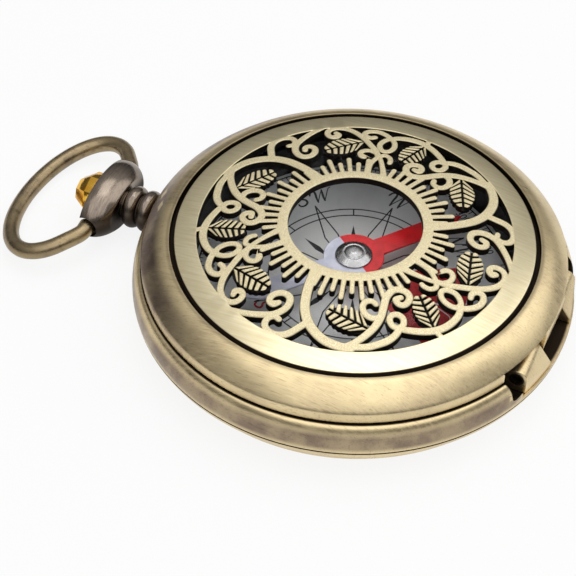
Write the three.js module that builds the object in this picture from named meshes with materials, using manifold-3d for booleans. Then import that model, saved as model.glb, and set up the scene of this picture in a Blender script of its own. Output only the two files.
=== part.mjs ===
// Pocket compass in a watch-style bronze case with a pierced, hinged lid.
// Millimetres. +Z is up, the flat back lies on z = 0, the pendant points to +Y, the hinge is at -Y.
import * as THREE from 'three';
import { mergeVertices } from 'three/addons/utils/BufferGeometryUtils.js';
import Module from 'manifold-3d';

const wasm = await Module();
wasm.setup();

// Clearances
const SEAT_GAP = 0.1;
const SLIDE_GAP = 0.15;
const WALL_GAP = 0.2;
const ROUND_GAP = 0.25;

// Compass capsule, from the middle outwards
const CUP_INNER_R = 17.2;
const CUP_WALL = 1.0;
const CUP_FLOOR = 2.5;
const CUP_FLANGE_WIDTH = 1.6;
const CUP_FLANGE_HEIGHT = 0.6;
const DIAL_THICKNESS = 0.4;
const NEEDLE_HEIGHT = 2.65;
const NEEDLE_THICKNESS = 0.25;
const NEEDLE_REACH = 13.2;
const NEEDLE_WIDTH = 2.3;
const NEEDLE_TIP_LENGTH = 1.9;
const NEEDLE_DISC_R = 3.2;
const NEEDLE_BEARING_DEG = -38.2;
const HUB_R = 2.0;
const HUB_TOP_R = 1.0;
const HUB_CROWN_R = 0.5;
const HUB_DOME = 0.2;
const HUB_CROWN = 0.45;
const HUB_WALL = 0.25;
const JEWEL_WALL = 0.12;
const JEWEL_HEIGHT = 0.65;
const JEWEL_CUP_DEPTH = 0.48;
const PIVOT_R = 0.48;
const PIVOT_CONE = 1.0;
const PIVOT_WEB = 0.6;
const CRYSTAL_THICKNESS = 0.7;
const CRYSTAL_SEAT = 0.5;

// Back cover and spacer
const BACK_FLOOR = 0.8;
const BACK_HEIGHT = 2.15;
const BACK_EDGE_RADIUS = 2.0;
const BACK_STEP = 0.8;
const BACK_LIP_HEIGHT = 0.6;
const BACK_LIP_WALL = 0.6;
const SPACER_WALL = 0.7;
const SPACER_GAP_WIDTH = 18.0;
const SPRING_CHANNEL = 0.9;

// Middle case
const MID_HEIGHT = 4.4;
const MID_SHELF = 2.45;
const SEAT_WIDTH = 2.8;
const LIP_WALL = 0.5;
const LIP_HEIGHT = 0.8;
const SHOULDER_WIDTH = 1.1;
const MID_FOOT_STEP = 0.75;
const MID_WIDEST_HEIGHT = 1.7;
const LINE_SHARE = 0.65;
const LINE_WIDTH = 0.26;
const LINE_DEPTH = 0.24;

// Lid
const LID_WALL = 1.0;
const LID_BAND = 1.2;
const BEZEL_WIDTH = 3.1;
const BEZEL_ROUNDNESS = 1.7;
const GROOVE_WIDTH = 0.5;
const LEDGE_WIDTH = 1.0;
const LEDGE_THICKNESS = 0.4;
const GRILLE_THICKNESS = 0.85;
const GRILLE_RIM_WIDTH = 2.35;
const DOME_RISE = 1.7;
const WINDOW_R = 7.0;
const WINDOW_RING_WIDTH = 1.1;
const VINE_WIDTH = 0.72;
const ARCH_WIDTH = 0.92;
const RING_BITE = 0.43;
const RIM_BITE = 0.27;
const LEAF_LEAN = 1.15;
const LEAF_FULLNESS = 0.6;
const LEAF_STEPS = 7;
const RAY_WIDTH = 0.42;
const RAY_LONG = 2.3;
const RAY_SHORT = 1.4;
const RAYS_PER_SECTOR = 20;
const SECTORS = 3;
const FIRST_FORK_DEG = 5.8;
const FORK_CLEAR_DEG = 6;
const ARCH_ROOT_DEG = 46;
const ARCH_CLEAR_DEG = 4;

// Hinge
const HINGE_INSET = 1.5;
const KNUCKLE_R = 1.15;
const KNUCKLE_HALF_SPAN = 7.8;
const TAB_HALF_WIDTH = 2.9;
const HINGE_PIN_R = 0.45;
const PIN_RECESS = 0.6;
const HINGE_DROP = 1.2;
const POCKET_RUN = 2.0;
const POCKET_END_GAP = 0.6;
const POCKET_DROP = 0.55;
const KNUCKLE_TOE = 1.1;
const KNUCKLE_TOE_HEIGHT = 0.5;
const TAB_INSET = 0.15;
const TAB_ROOT_HEIGHT = 0.6;
const NOTCH_HEIGHT = 1.3;

// Pendant, button and bow
const PENDANT_RISE = 1.2;
const NECK_R = 2.4;
const NECK_WAIST = 0.5;
const BEAD_LENGTH = 1.6;
const BEAD_BEVEL = 0.35;
const BEAD_GAP = 0.2;
const SPIGOT_WALL = 0.3;
const SPIGOT_LENGTH = 1.7;
const KNOB_HALF_WIDTH = 5.7;
const KNOB_HALF_HEIGHT = 3.2;
const KNOB_HALF_LENGTH = 3.3;
const KNOB_INNER_CUT = 2.4;
const KNOB_OUTER_CUT = 0.7;
const BUTTON_R = 2.5;
const BUTTON_WALL_HEIGHT = 1.4;
const BUTTON_SLOPE_HEIGHT = 0.8;
const BUTTON_CROWN_HEIGHT = 0.6;
const BUTTON_SLOPE_R = 2.1;
const BUTTON_TABLE_R = 1.3;
const BUTTON_TRAVEL = 0.8;
const BUTTON_SKIRT = 0.5;
const STEM_R = 0.5;
const BOW_WIRE_R = 0.92;
const BOW_HALF_WIDTH = 9.7;
const BOW_HALF_LENGTH = 5.6;
const BOW_CENTRE = 4.8;
const BOW_GRIP = 1.6;
const BOW_SHOULDER = 1.2;
const BOW_SLIDE = 0.5;

// Lock spring and lift spring
const SPRING_THICKNESS = 0.35;
const LOCK_HALF_ANGLE_DEG = 22;
const LIFT_HALF_ANGLE_DEG = 40;
const HOOK_HALF_WIDTH = 1.2;
const HOOK_NOSE_HEIGHT = 0.4;
const FINGER_HALF_WIDTH = 1.0;

// Facets
const CASE_SIDES = 60;
const INNER_SIDES = 40;
const SMALL_SIDES = 20;
const KNOB_RINGS = 16;
const PLATE_CURVE_SEGMENTS = 12;
const BUTTON_SIDES = 12;
const MERGE_TOLERANCE = 1e-5;

// Heights that follow from the stack
const seamZ = BACK_HEIGHT + SEAT_GAP / 2;
const midTopZ = seamZ + MID_HEIGHT;
const shelfZ = seamZ + MID_SHELF;
const lidBottomZ = midTopZ + WALL_GAP;
const cupBottomZ = BACK_FLOOR + WALL_GAP;
const cupFloorZ = cupBottomZ + CUP_FLOOR;
const dialTopZ = cupFloorZ + DIAL_THICKNESS;
const needleZ = dialTopZ + NEEDLE_HEIGHT;
const hubFootZ = needleZ - SEAT_GAP;
const hubBaseZ = needleZ + NEEDLE_THICKNESS + SEAT_GAP / 2;
const jewelTopZ = hubFootZ + JEWEL_HEIGHT;
const hubTopZ = jewelTopZ + SEAT_GAP + HUB_CROWN;
const cupTopZ = hubTopZ + SLIDE_GAP;
const crystalTopZ = cupTopZ + SEAT_GAP / 2 + CRYSTAL_THICKNESS;
const ledgeBottomZ = crystalTopZ + WALL_GAP;
const ledgeTopZ = ledgeBottomZ + LEDGE_THICKNESS;
const grilleBottomZ = ledgeTopZ + SEAT_GAP / 2;
const rimTopZ = grilleBottomZ + GRILLE_THICKNESS;

// Radii that follow from the stack
const cupOuterR = CUP_INNER_R + CUP_WALL;
const cupFlangeR = cupOuterR + CUP_FLANGE_WIDTH;
const midBoreR = cupOuterR + WALL_GAP;
const lipOuterR = midBoreR + SEAT_WIDTH;
const lidInnerR = lipOuterR + ROUND_GAP;
const lidR = lidInnerR + LID_WALL;
const caseR = lidR + SHOULDER_WIDTH;
const spacerInnerR = cupOuterR + WALL_GAP;
const spacerOuterR = spacerInnerR + SPACER_WALL;
const backLipInnerR = spacerOuterR + SPRING_CHANNEL;
const backLipOuterR = backLipInnerR + BACK_LIP_WALL;
const midLowerBoreR = backLipOuterR + SLIDE_GAP;
const midFootR = caseR - MID_FOOT_STEP;
const grooveOuterR = lidR - BEZEL_WIDTH;
const grilleR = grooveOuterR - GROOVE_WIDTH;
const openworkR = grilleR - GRILLE_RIM_WIDTH;
const windowRingR = WINDOW_R + WINDOW_RING_WIDTH;

// Hinge axis and pendant axis
const hingeY = -(lidR - HINGE_INSET);
const hingeZ = lidBottomZ - HINGE_DROP;
const pocketR = KNUCKLE_R + ROUND_GAP;
const pocketFloorZ = hingeZ - KNUCKLE_R - POCKET_DROP;
const pocketHalf = KNUCKLE_HALF_SPAN + POCKET_RUN;
const notchTopZ = lidBottomZ + NOTCH_HEIGHT;
const pendantZ = seamZ + PENDANT_RISE;
const neckFootY = caseR + ROUND_GAP;
const neckLength = 2 * BEAD_LENGTH + BEAD_GAP;
const knobZ = neckLength + ROUND_GAP + KNOB_INNER_CUT;

function cleaned(geometry) {
  const bare = geometry.clone();
  bare.deleteAttribute('normal');
  bare.deleteAttribute('uv');
  const merged = mergeVertices(bare, MERGE_TOLERANCE);
  const index = merged.index.array;
  const kept = [];
  for (let i = 0; i < index.length; i += 3) {
    const [a, b, c] = [index[i], index[i + 1], index[i + 2]];
    if (a !== b && b !== c && c !== a) kept.push(a, b, c);
  }
  merged.setIndex(kept);
  return merged;
}

function solid(geometry) {
  const merged = cleaned(geometry);
  return new wasm.Manifold(new wasm.Mesh({
    numProp: 3,
    vertProperties: new Float32Array(merged.attributes.position.array),
    triVerts: new Uint32Array(merged.index.array),
  }));
}

function shapeOf(body) {
  const mesh = body.getMesh();
  const geometry = new THREE.BufferGeometry();
  geometry.setAttribute('position', new THREE.BufferAttribute(new Float32Array(mesh.vertProperties), 3));
  geometry.setIndex(new THREE.BufferAttribute(new Uint32Array(mesh.triVerts), 1));
  return geometry;
}

// A profile of [radius, height] pairs, listed anticlockwise, turned about Z.
function turned(profile, sides) {
  const points = profile.map(([r, z]) => new THREE.Vector2(r, z));
  if (profile[0][0] > 0 || profile[profile.length - 1][0] > 0) points.push(points[0].clone());
  const geometry = new THREE.LatheGeometry(points, sides);
  geometry.rotateX(Math.PI / 2);
  return geometry;
}

function block(x0, x1, y0, y1, z0, z1) {
  const geometry = new THREE.BoxGeometry(x1 - x0, y1 - y0, z1 - z0);
  geometry.translate((x0 + x1) / 2, (y0 + y1) / 2, (z0 + z1) / 2);
  return geometry;
}

function rodX(radius, x0, x1, y, z, sides = SMALL_SIDES) {
  const geometry = new THREE.CylinderGeometry(radius, radius, x1 - x0, sides);
  geometry.rotateZ(Math.PI / 2);
  geometry.translate((x0 + x1) / 2, y, z);
  return geometry;
}

function rodY(radius, y0, y1, z, sides = SMALL_SIDES) {
  const geometry = new THREE.CylinderGeometry(radius, radius, y1 - y0, sides);
  geometry.translate(0, (y0 + y1) / 2, z);
  return geometry;
}

function joined(parts) {
  return parts.map(solid).reduce((a, b) => a.add(b));
}

function cutFrom(base, tools) {
  return tools.map(solid).reduce((a, b) => a.subtract(b), base);
}

function wrapped(parts) {
  return wasm.Manifold.hull(parts.map(solid));
}

function plateOf(outline, z0, thickness) {
  const geometry = new THREE.ExtrudeGeometry(outline, {
    depth: thickness,
    bevelEnabled: false,
    curveSegments: PLATE_CURVE_SEGMENTS,
  });
  geometry.translate(0, 0, z0);
  return geometry;
}

// Back cover: a shallow dish with a rounded edge and a snap lip.
const backOuterR = midFootR - BACK_STEP;
const backEdge = [];
const EDGE_STEPS = 4;
for (let i = 0; i <= EDGE_STEPS; i += 1) {
  const turn = (i / EDGE_STEPS) * (Math.PI / 2);
  backEdge.push([
    backOuterR - BACK_EDGE_RADIUS * (1 - Math.sin(turn)),
    BACK_EDGE_RADIUS * (1 - Math.cos(turn)),
  ]);
}
const backLipTopZ = seamZ + BACK_LIP_HEIGHT;
const backDish = turned([
  [0, 0],
  ...backEdge,
  [backOuterR, BACK_HEIGHT],
  [backLipOuterR, BACK_HEIGHT],
  [backLipOuterR, backLipTopZ],
  [backLipInnerR, backLipTopZ],
  [backLipInnerR, BACK_FLOOR],
  [0, BACK_FLOOR],
], CASE_SIDES);
const stemBoreR = STEM_R + SLIDE_GAP;
const spigotR = stemBoreR + SPIGOT_WALL;
const farY = caseR + KNOB_HALF_LENGTH;
const backCover = cutFrom(solid(backDish), [rodY(stemBoreR, cupOuterR, farY, pendantZ)]);

// Middle case: a ring with a shelf for the capsule, a seat and a lip for the lid. A line is turned
// into its flank just below the widest place.
const widestZ = seamZ + MID_WIDEST_HEIGHT;
const shoulderR = lidR + SEAT_GAP / 2;
const lipTopZ = midTopZ + LIP_HEIGHT;
const lipInnerR = lipOuterR - LIP_WALL;
const lineZ = seamZ + MID_WIDEST_HEIGHT * LINE_SHARE;
const FLANK_SHARE = 0.25;
const flankR = (z) => {
  const drop = (widestZ - z) / (widestZ - seamZ);
  return midFootR + (caseR - midFootR) * Math.sqrt(1 - drop ** 2);
};
const onFlank = (z) => [flankR(z), z];
const flank = [
  onFlank(seamZ + MID_WIDEST_HEIGHT * FLANK_SHARE),
  onFlank(lineZ - LINE_WIDTH / 2),
  [flankR(lineZ) - LINE_DEPTH, lineZ],
  onFlank(lineZ + LINE_WIDTH / 2),
  [caseR, widestZ],
];
const shoulder = [];
const SHOULDER_STEPS = 4;
for (let i = 1; i <= SHOULDER_STEPS; i += 1) {
  const turn = (i / SHOULDER_STEPS) * (Math.PI / 2);
  shoulder.push([
    shoulderR + (caseR - shoulderR) * Math.cos(turn),
    widestZ + (midTopZ - widestZ) * Math.sin(turn),
  ]);
}
const midRing = turned([
  [midLowerBoreR, seamZ],
  [midFootR, seamZ],
  ...flank,
  ...shoulder,
  [lipOuterR, midTopZ],
  [lipOuterR, lipTopZ],
  [lipInnerR, lipTopZ],
  [lipInnerR, midTopZ],
  [midBoreR, midTopZ],
  [midBoreR, shelfZ],
  [midLowerBoreR, shelfZ],
], CASE_SIDES);
const hookBackY = spacerOuterR + SPRING_CHANNEL - SLIDE_GAP - SPRING_THICKNESS;
const hookFaceY = hookBackY + SPRING_THICKNESS;
const hookTopZ = lipTopZ + SEAT_GAP + HOOK_NOSE_HEIGHT;
const hookSlotHalf = HOOK_HALF_WIDTH + WALL_GAP;
const fingerSlotHalf = FINGER_HALF_WIDTH + WALL_GAP;
const hingeZoneHalf = KNUCKLE_HALF_SPAN + POCKET_END_GAP;
const midCase = cutFrom(solid(midRing), [
  rodX(pocketR, -pocketHalf, pocketHalf, hingeY, hingeZ),
  block(-hingeZoneHalf, hingeZoneHalf, -farY, hingeY + pocketR, pocketFloorZ, lipTopZ + SEAT_GAP),
  block(-pocketHalf, pocketHalf, -farY, hingeY + pocketR, hingeZ, lipTopZ + SEAT_GAP),
  block(-hookSlotHalf, hookSlotHalf, 0, hookFaceY + WALL_GAP, seamZ, lipTopZ + SEAT_GAP),
  block(-hookSlotHalf, hookSlotHalf, hookFaceY, lidR - LID_WALL, midTopZ, lipTopZ + SEAT_GAP),
  block(-fingerSlotHalf, fingerSlotHalf, -hookFaceY - WALL_GAP, 0, seamZ, lipTopZ + SEAT_GAP),
  rodY(stemBoreR, cupOuterR, farY, pendantZ),
  rodY(spigotR + SLIDE_GAP, neckFootY - SPIGOT_LENGTH - ROUND_GAP, farY, pendantZ),
]);

// Spacer under the capsule: a ring, open at the pendant side for the lock spring.
const flangeBottomZ = shelfZ - SEAT_GAP - CUP_FLANGE_HEIGHT;
const spacerRing = turned([
  [spacerInnerR, BACK_FLOOR + SEAT_GAP],
  [spacerOuterR, BACK_FLOOR + SEAT_GAP],
  [spacerOuterR, flangeBottomZ - SEAT_GAP],
  [spacerInnerR, flangeBottomZ - SEAT_GAP],
], INNER_SIDES);
const spacer = cutFrom(solid(spacerRing), [
  block(-SPACER_GAP_WIDTH / 2, SPACER_GAP_WIDTH / 2, 0, farY, 0, shelfZ),
]);

// Capsule cup with its flange, notched for the lock spring and the lift spring.
const pivotHoleR = PIVOT_R + SLIDE_GAP;
const pivotRootZ = cupBottomZ + PIVOT_WEB;
const cupTurned = turned([
  [0, cupBottomZ],
  [cupOuterR, cupBottomZ],
  [cupOuterR, flangeBottomZ],
  [cupFlangeR, flangeBottomZ],
  [cupFlangeR, shelfZ - SEAT_GAP],
  [cupOuterR, shelfZ - SEAT_GAP],
  [cupOuterR, cupTopZ],
  [CUP_INNER_R, cupTopZ],
  [CUP_INNER_R, cupFloorZ],
  [pivotHoleR, cupFloorZ],
  [pivotHoleR, pivotRootZ],
  [0, pivotRootZ],
], INNER_SIDES);
const hookNotchY = Math.max(hookBackY - BUTTON_TRAVEL - WALL_GAP, cupOuterR);
const fingerNotchY = Math.max(hookBackY - WALL_GAP, cupOuterR);
const capsuleCup = cutFrom(solid(cupTurned), [
  block(-hookSlotHalf, hookSlotHalf, hookNotchY, farY, cupBottomZ, shelfZ),
  block(-fingerSlotHalf, fingerSlotHalf, -farY, -fingerNotchY, cupBottomZ, shelfZ),
]);

// Dial plate, crystal and the ring that holds the crystal.
const dialR = CUP_INNER_R - WALL_GAP;
const dialBottomZ = cupFloorZ + SEAT_GAP / 2;
const dialCard = turned([
  [pivotHoleR, dialBottomZ],
  [dialR, dialBottomZ],
  [dialR, dialTopZ],
  [pivotHoleR, dialTopZ],
], INNER_SIDES);
const crystalR = CUP_INNER_R + CRYSTAL_SEAT;
const crystalBottomZ = cupTopZ + SEAT_GAP / 2;
const crystal = turned([
  [0, crystalBottomZ],
  [crystalR, crystalBottomZ],
  [crystalR, crystalTopZ],
  [0, crystalTopZ],
], INNER_SIDES);
const crystalRing = turned([
  [crystalR + SEAT_GAP, crystalBottomZ],
  [cupOuterR, crystalBottomZ],
  [cupOuterR, crystalTopZ],
  [crystalR + SEAT_GAP, crystalTopZ],
], INNER_SIDES);

// Needle: blade, hub and jewel turn together on the pivot.
const jewelR = PIVOT_R + JEWEL_WALL;
const hubNeckR = jewelR + SEAT_GAP + HUB_WALL;
const jewelCupZ = hubFootZ + JEWEL_CUP_DEPTH;
const blade = new THREE.Shape();
const rootX = Math.sqrt(NEEDLE_DISC_R ** 2 - (NEEDLE_WIDTH / 2) ** 2);
const rootTurn = Math.asin(NEEDLE_WIDTH / 2 / NEEDLE_DISC_R);
const shoulderX = NEEDLE_REACH - NEEDLE_TIP_LENGTH;
blade.moveTo(NEEDLE_REACH, 0);
blade.lineTo(shoulderX, NEEDLE_WIDTH / 2);
blade.lineTo(rootX, NEEDLE_WIDTH / 2);
blade.absarc(0, 0, NEEDLE_DISC_R, rootTurn, Math.PI - rootTurn, false);
blade.lineTo(-shoulderX, NEEDLE_WIDTH / 2);
blade.lineTo(-NEEDLE_REACH, 0);
blade.lineTo(-shoulderX, -NEEDLE_WIDTH / 2);
blade.lineTo(-rootX, -NEEDLE_WIDTH / 2);
blade.absarc(0, 0, NEEDLE_DISC_R, Math.PI + rootTurn, 2 * Math.PI - rootTurn, false);
blade.lineTo(shoulderX, -NEEDLE_WIDTH / 2);
const bladeHole = new THREE.Path();
bladeHole.absarc(0, 0, hubNeckR + SEAT_GAP, 0, 2 * Math.PI, true);
blade.holes.push(bladeHole);
const needleBlade = plateOf(blade, needleZ, NEEDLE_THICKNESS);
const needleHub = turned([
  [jewelR + SEAT_GAP, hubFootZ],
  [hubNeckR, hubFootZ],
  [hubNeckR, hubBaseZ],
  [HUB_R, hubBaseZ],
  [HUB_TOP_R, hubTopZ - HUB_DOME],
  [HUB_CROWN_R, hubTopZ],
  [0, hubTopZ],
  [0, jewelTopZ + SEAT_GAP],
  [jewelR + SEAT_GAP, jewelTopZ + SEAT_GAP],
], SMALL_SIDES);
const needleJewel = turned([
  [0, jewelCupZ],
  [PIVOT_R, hubFootZ],
  [jewelR, hubFootZ],
  [jewelR, jewelTopZ],
  [0, jewelTopZ],
], SMALL_SIDES);
const pivotTipZ = jewelCupZ - SEAT_GAP;
const pivotPin = turned([
  [0, pivotRootZ + SEAT_GAP / 2],
  [PIVOT_R, pivotRootZ + SEAT_GAP / 2],
  [PIVOT_R, pivotTipZ - PIVOT_CONE],
  [0, pivotTipZ],
], SMALL_SIDES);

// Lid bezel: a convex ring with an inner ledge for the pierced plate.
const bandTopZ = lidBottomZ + LID_BAND;
const BEZEL_STEPS = 6;
const bezelCurve = [];
for (let i = 0; i <= BEZEL_STEPS; i += 1) {
  const u = 1 - i / BEZEL_STEPS;
  bezelCurve.push([
    grooveOuterR + BEZEL_WIDTH * u,
    bandTopZ + (rimTopZ - bandTopZ) * (1 - u ** BEZEL_ROUNDNESS),
  ]);
}
const slopeFootZ = hookTopZ + WALL_GAP;
const slopeRun = ledgeBottomZ - slopeFootZ;
const bezelRing = turned([
  [lidInnerR, lidBottomZ],
  [lidR, lidBottomZ],
  ...bezelCurve,
  [grooveOuterR, ledgeTopZ],
  [grilleR - LEDGE_WIDTH, ledgeTopZ],
  [grilleR - LEDGE_WIDTH, ledgeBottomZ],
  [lidInnerR - slopeRun, ledgeBottomZ],
  [lidInnerR, slopeFootZ],
], CASE_SIDES);
const lidBezel = cutFrom(solid(bezelRing), [
  block(-pocketHalf, pocketHalf, -farY, hingeY + KNUCKLE_R * 2, 0, notchTopZ),
]);

// Lid tab: the middle knuckle of the hinge.
const tabTopZ = notchTopZ - SEAT_GAP / 2;
const tab = wrapped([
  rodX(KNUCKLE_R, -TAB_HALF_WIDTH, TAB_HALF_WIDTH, hingeY, hingeZ),
  block(
    -TAB_HALF_WIDTH, TAB_HALF_WIDTH,
    TAB_INSET - lidR, hingeY + KNUCKLE_R / 2,
    tabTopZ - TAB_ROOT_HEIGHT, tabTopZ,
  ),
]);
const lidKnuckle = cutFrom(tab, [
  rodX(HINGE_PIN_R + SEAT_GAP, -pocketHalf, pocketHalf, hingeY, hingeZ),
]);

// Case knuckles: barrels that run out into a toe in the hinge pocket, and the pin through all three.
const knuckleLimitR = caseR - WALL_GAP;
const knuckleLimit = solid(turned([
  [0, seamZ],
  [knuckleLimitR, seamZ],
  [knuckleLimitR, notchTopZ],
  [0, notchTopZ],
], CASE_SIDES));
function caseKnuckle(side) {
  const near = side * (TAB_HALF_WIDTH + ROUND_GAP);
  const far = side * KNUCKLE_HALF_SPAN;
  const [x0, x1] = [Math.min(near, far), Math.max(near, far)];
  const footZ = pocketFloorZ + SEAT_GAP / 2;
  const toeY = hingeY - KNUCKLE_R - KNUCKLE_TOE;
  const body = wrapped([
    rodX(KNUCKLE_R, x0, x1, hingeY, hingeZ),
    block(x0, x1, toeY, hingeY + KNUCKLE_R, footZ, footZ + KNUCKLE_TOE_HEIGHT),
  ]);
  return cutFrom(body.intersect(knuckleLimit), [
    rodX(HINGE_PIN_R + SEAT_GAP, -pocketHalf, pocketHalf, hingeY, hingeZ),
  ]);
}
const pinHalf = KNUCKLE_HALF_SPAN - PIN_RECESS;
const hingePin = rodX(HINGE_PIN_R, -pinHalf, pinHalf, hingeY, hingeZ, SMALL_SIDES);

// Pierced plate. The drawing is made flat, set between the window ring and the rim, then domed.
const vines = [
  [[-1.0, 7.6], [-1.2, 8.6], [-1.25, 9.6], [-1.05, 10.5], [-0.75, 11.2]],
  [[0.75, 7.6], [0.45, 8.6], [0.1, 9.5], [-0.3, 10.4], [-0.75, 11.2]],
  [[-0.75, 11.0], [-1.4, 12.1], [-2.25, 13.0], [-3.25, 13.95], [-4.4, 14.75], [-5.6, 15.15], [-6.7, 15.0],
    [-7.35, 14.4], [-7.4, 13.65], [-6.9, 13.1], [-6.3, 13.2], [-6.1, 13.7]],
  [[-1.1, 11.6], [-1.9, 11.9], [-2.6, 11.65], [-2.85, 11.1], [-2.6, 10.6], [-2.25, 10.5]],
  [[-0.8, 11.1], [-0.25, 11.6], [0.35, 11.4], [0.62, 10.85], [0.62, 10.45]],
  [[-0.4, 14.9], [-1.1, 15.45], [-2.1, 15.8], [-3.0, 15.6], [-3.45, 15.05], [-3.25, 14.5], [-2.65, 14.35]],
  [[-0.5, 14.9], [0.3, 15.4], [1.4, 15.65], [2.6, 15.6], [3.7, 15.2], [4.7, 14.5], [5.6, 13.6], [6.2, 12.8]],
  [[5.9, 12.9], [6.9, 13.25], [7.9, 13.25], [8.9, 12.95], [9.9, 12.5], [10.9, 11.7]],
  [[4.0, 10.3], [4.2, 10.75], [3.85, 11.2], [3.25, 11.2], [2.7, 10.85], [2.55, 10.2], [2.9, 9.5], [3.6, 9.2],
    [4.6, 9.45], [5.6, 10.15], [6.6, 10.8], [7.8, 11.25], [9.2, 11.4], [10.6, 11.3], [11.6, 11.0]],
  [[6.7, 10.8], [7.35, 10.3], [7.5, 9.5], [7.15, 8.75], [6.5, 8.5], [5.95, 8.85], [5.9, 9.4]],
  [[-11.7, 7.4], [-12.2, 8.5], [-12.6, 9.6], [-12.5, 10.6], [-11.9, 11.4], [-11.0, 11.65], [-10.35, 11.2],
    [-10.3, 10.5]],
  [[-8.3, 14.6], [-8.9, 13.6], [-9.4, 12.6], [-9.8, 11.5], [-10.0, 10.5], [-9.75, 9.5], [-9.2, 8.85],
    [-8.5, 8.6], [-7.85, 8.95], [-7.6, 9.65], [-7.8, 10.35], [-8.35, 10.65], [-8.9, 10.35]],
];
const vineRings = [
  [[-0.45, 14.85], [-1.05, 14.3], [-1.3, 13.4], [-1.0, 12.6], [-0.5, 12.3], [0.05, 12.6], [0.3, 13.4],
    [0.1, 14.3]],
  [[6.4, 12.3], [6.1, 12.85], [5.45, 12.85], [5.0, 12.3], [5.1, 11.65], [5.6, 11.35], [6.15, 11.6]],
];
const arch = [[-15.6, 4.0], [-15.2, 5.0], [-14.3, 6.2], [-13.1, 7.0], [-11.6, 7.45], [-10.0, 7.4],
  [-8.4, 6.9], [-7.0, 6.25], [-5.5, 5.4]];
const bridge = [[3.5, 15.2], [3.5, 16.4]];
const leaves = [
  { stalk: [-2.9, 13.5], tip: [-6.75, 10.3], plump: 0.55 },
  { stalk: [3.5, 15.3], tip: [1.7, 11.1], plump: 0.55 },
  { stalk: [8.4, 11.3], tip: [9.9, 6.4], plump: 0.51 },
];

// The fork is rooted in the window ring and the bridge in the rim; the rest lies between them.
const [[forkRoot]] = vines;
const drawnRootR = Math.hypot(...forkRoot);
const drawnTipR = Math.hypot(...bridge.at(-1));
const rootR = windowRingR - RING_BITE;
const tipR = openworkR + RIM_BITE;

function onBand([x, y]) {
  const r = Math.hypot(x, y);
  const share = (r - drawnRootR) / (drawnTipR - drawnRootR);
  const scale = (rootR + share * (tipR - rootR)) / r;
  return new THREE.Vector3(x * scale, y * scale, 0);
}

function closedShape(points) {
  return new THREE.Shape(points.map((p) => new THREE.Vector2(p.x, p.y)));
}

// A stroke of even width with round ends along a smooth curve through the drawn points.
function ribbon(drawn, width, closed = false) {
  const curve = new THREE.CatmullRomCurve3(drawn.map(onBand), closed, 'centripetal');
  const steps = drawn.length;
  const half = width / 2;
  const left = [];
  const right = [];
  const count = closed ? steps : steps + 1;
  for (let i = 0; i < count; i += 1) {
    const p = curve.getPointAt(i / steps);
    const t = curve.getTangentAt(i / steps);
    left.push(new THREE.Vector2(p.x - t.y * half, p.y + t.x * half));
    right.push(new THREE.Vector2(p.x + t.y * half, p.y - t.x * half));
  }
  if (closed) {
    const size = (outline) => Math.abs(THREE.ShapeUtils.area(outline));
    const [inner, outer] = [left, right].sort((a, b) => size(a) - size(b));
    const ring = new THREE.Shape(outer);
    ring.holes.push(new THREE.Path(inner));
    return ring;
  }
  const endTip = (u, sign) => {
    const p = curve.getPointAt(u);
    const t = curve.getTangentAt(u);
    return new THREE.Vector2(p.x + sign * t.x * half, p.y + sign * t.y * half);
  };
  return new THREE.Shape([...right, endTip(1, 1), ...left.reverse(), endTip(0, -1)]);
}

// A pointed leaf from its stalk to its tip; plump is its width over its length.
function leaf(stalk, tip, plump) {
  const a = onBand(stalk);
  const b = onBand(tip);
  const along = b.clone().sub(a);
  const across = new THREE.Vector3(-along.y, along.x, 0).multiplyScalar(plump / 2);
  const side = (sign) => {
    const points = [];
    for (let i = 1; i < LEAF_STEPS; i += 1) {
      const u = i / LEAF_STEPS;
      const swell = Math.sin(Math.PI * u ** LEAF_LEAN) ** LEAF_FULLNESS;
      points.push(a.clone().addScaledVector(along, u).addScaledVector(across, sign * swell));
    }
    return points;
  };
  return closedShape([a, ...side(-1), b, ...side(1).reverse()]);
}

// Straight rays round the window; none where the fork and the arch leave the ring.
function ray(index) {
  const pitch = 360 / SECTORS / RAYS_PER_SECTOR;
  const degrees = 180 / SECTORS - (index + 0.5) * pitch;
  const clear = Math.abs(degrees) > FORK_CLEAR_DEG && Math.abs(degrees - ARCH_ROOT_DEG) > ARCH_CLEAR_DEG;
  const length = index % 2 === 0 ? RAY_LONG : RAY_SHORT;
  const a = THREE.MathUtils.degToRad(90 + degrees);
  const root = windowRingR - WINDOW_RING_WIDTH / 2;
  const along = new THREE.Vector2(Math.cos(a), Math.sin(a));
  const across = new THREE.Vector2(-along.y, along.x).multiplyScalar(RAY_WIDTH / 2);
  const tip = windowRingR + length;
  const corner = (r, sign) => along.clone().multiplyScalar(r).addScaledVector(across, sign);
  const corners = [corner(root, -1), corner(tip, -1), corner(tip, 1), corner(root, 1)];
  return clear ? new THREE.Shape(corners) : null;
}

const sector = [
  ...vines.map((points) => ribbon(points, VINE_WIDTH)),
  ...vineRings.map((points) => ribbon(points, VINE_WIDTH, true)),
  ribbon(arch, ARCH_WIDTH),
  ribbon(bridge, VINE_WIDTH),
  ...leaves.map(({ stalk, tip, plump }) => leaf(stalk, tip, plump)),
  ...Array.from({ length: RAYS_PER_SECTOR }, (_, i) => ray(i)).filter(Boolean),
];

function flatRing(innerR, outerR) {
  return turned([
    [innerR, 0],
    [outerR, 0],
    [outerR, GRILLE_THICKNESS],
    [innerR, GRILLE_THICKNESS],
  ], CASE_SIDES);
}

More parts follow.
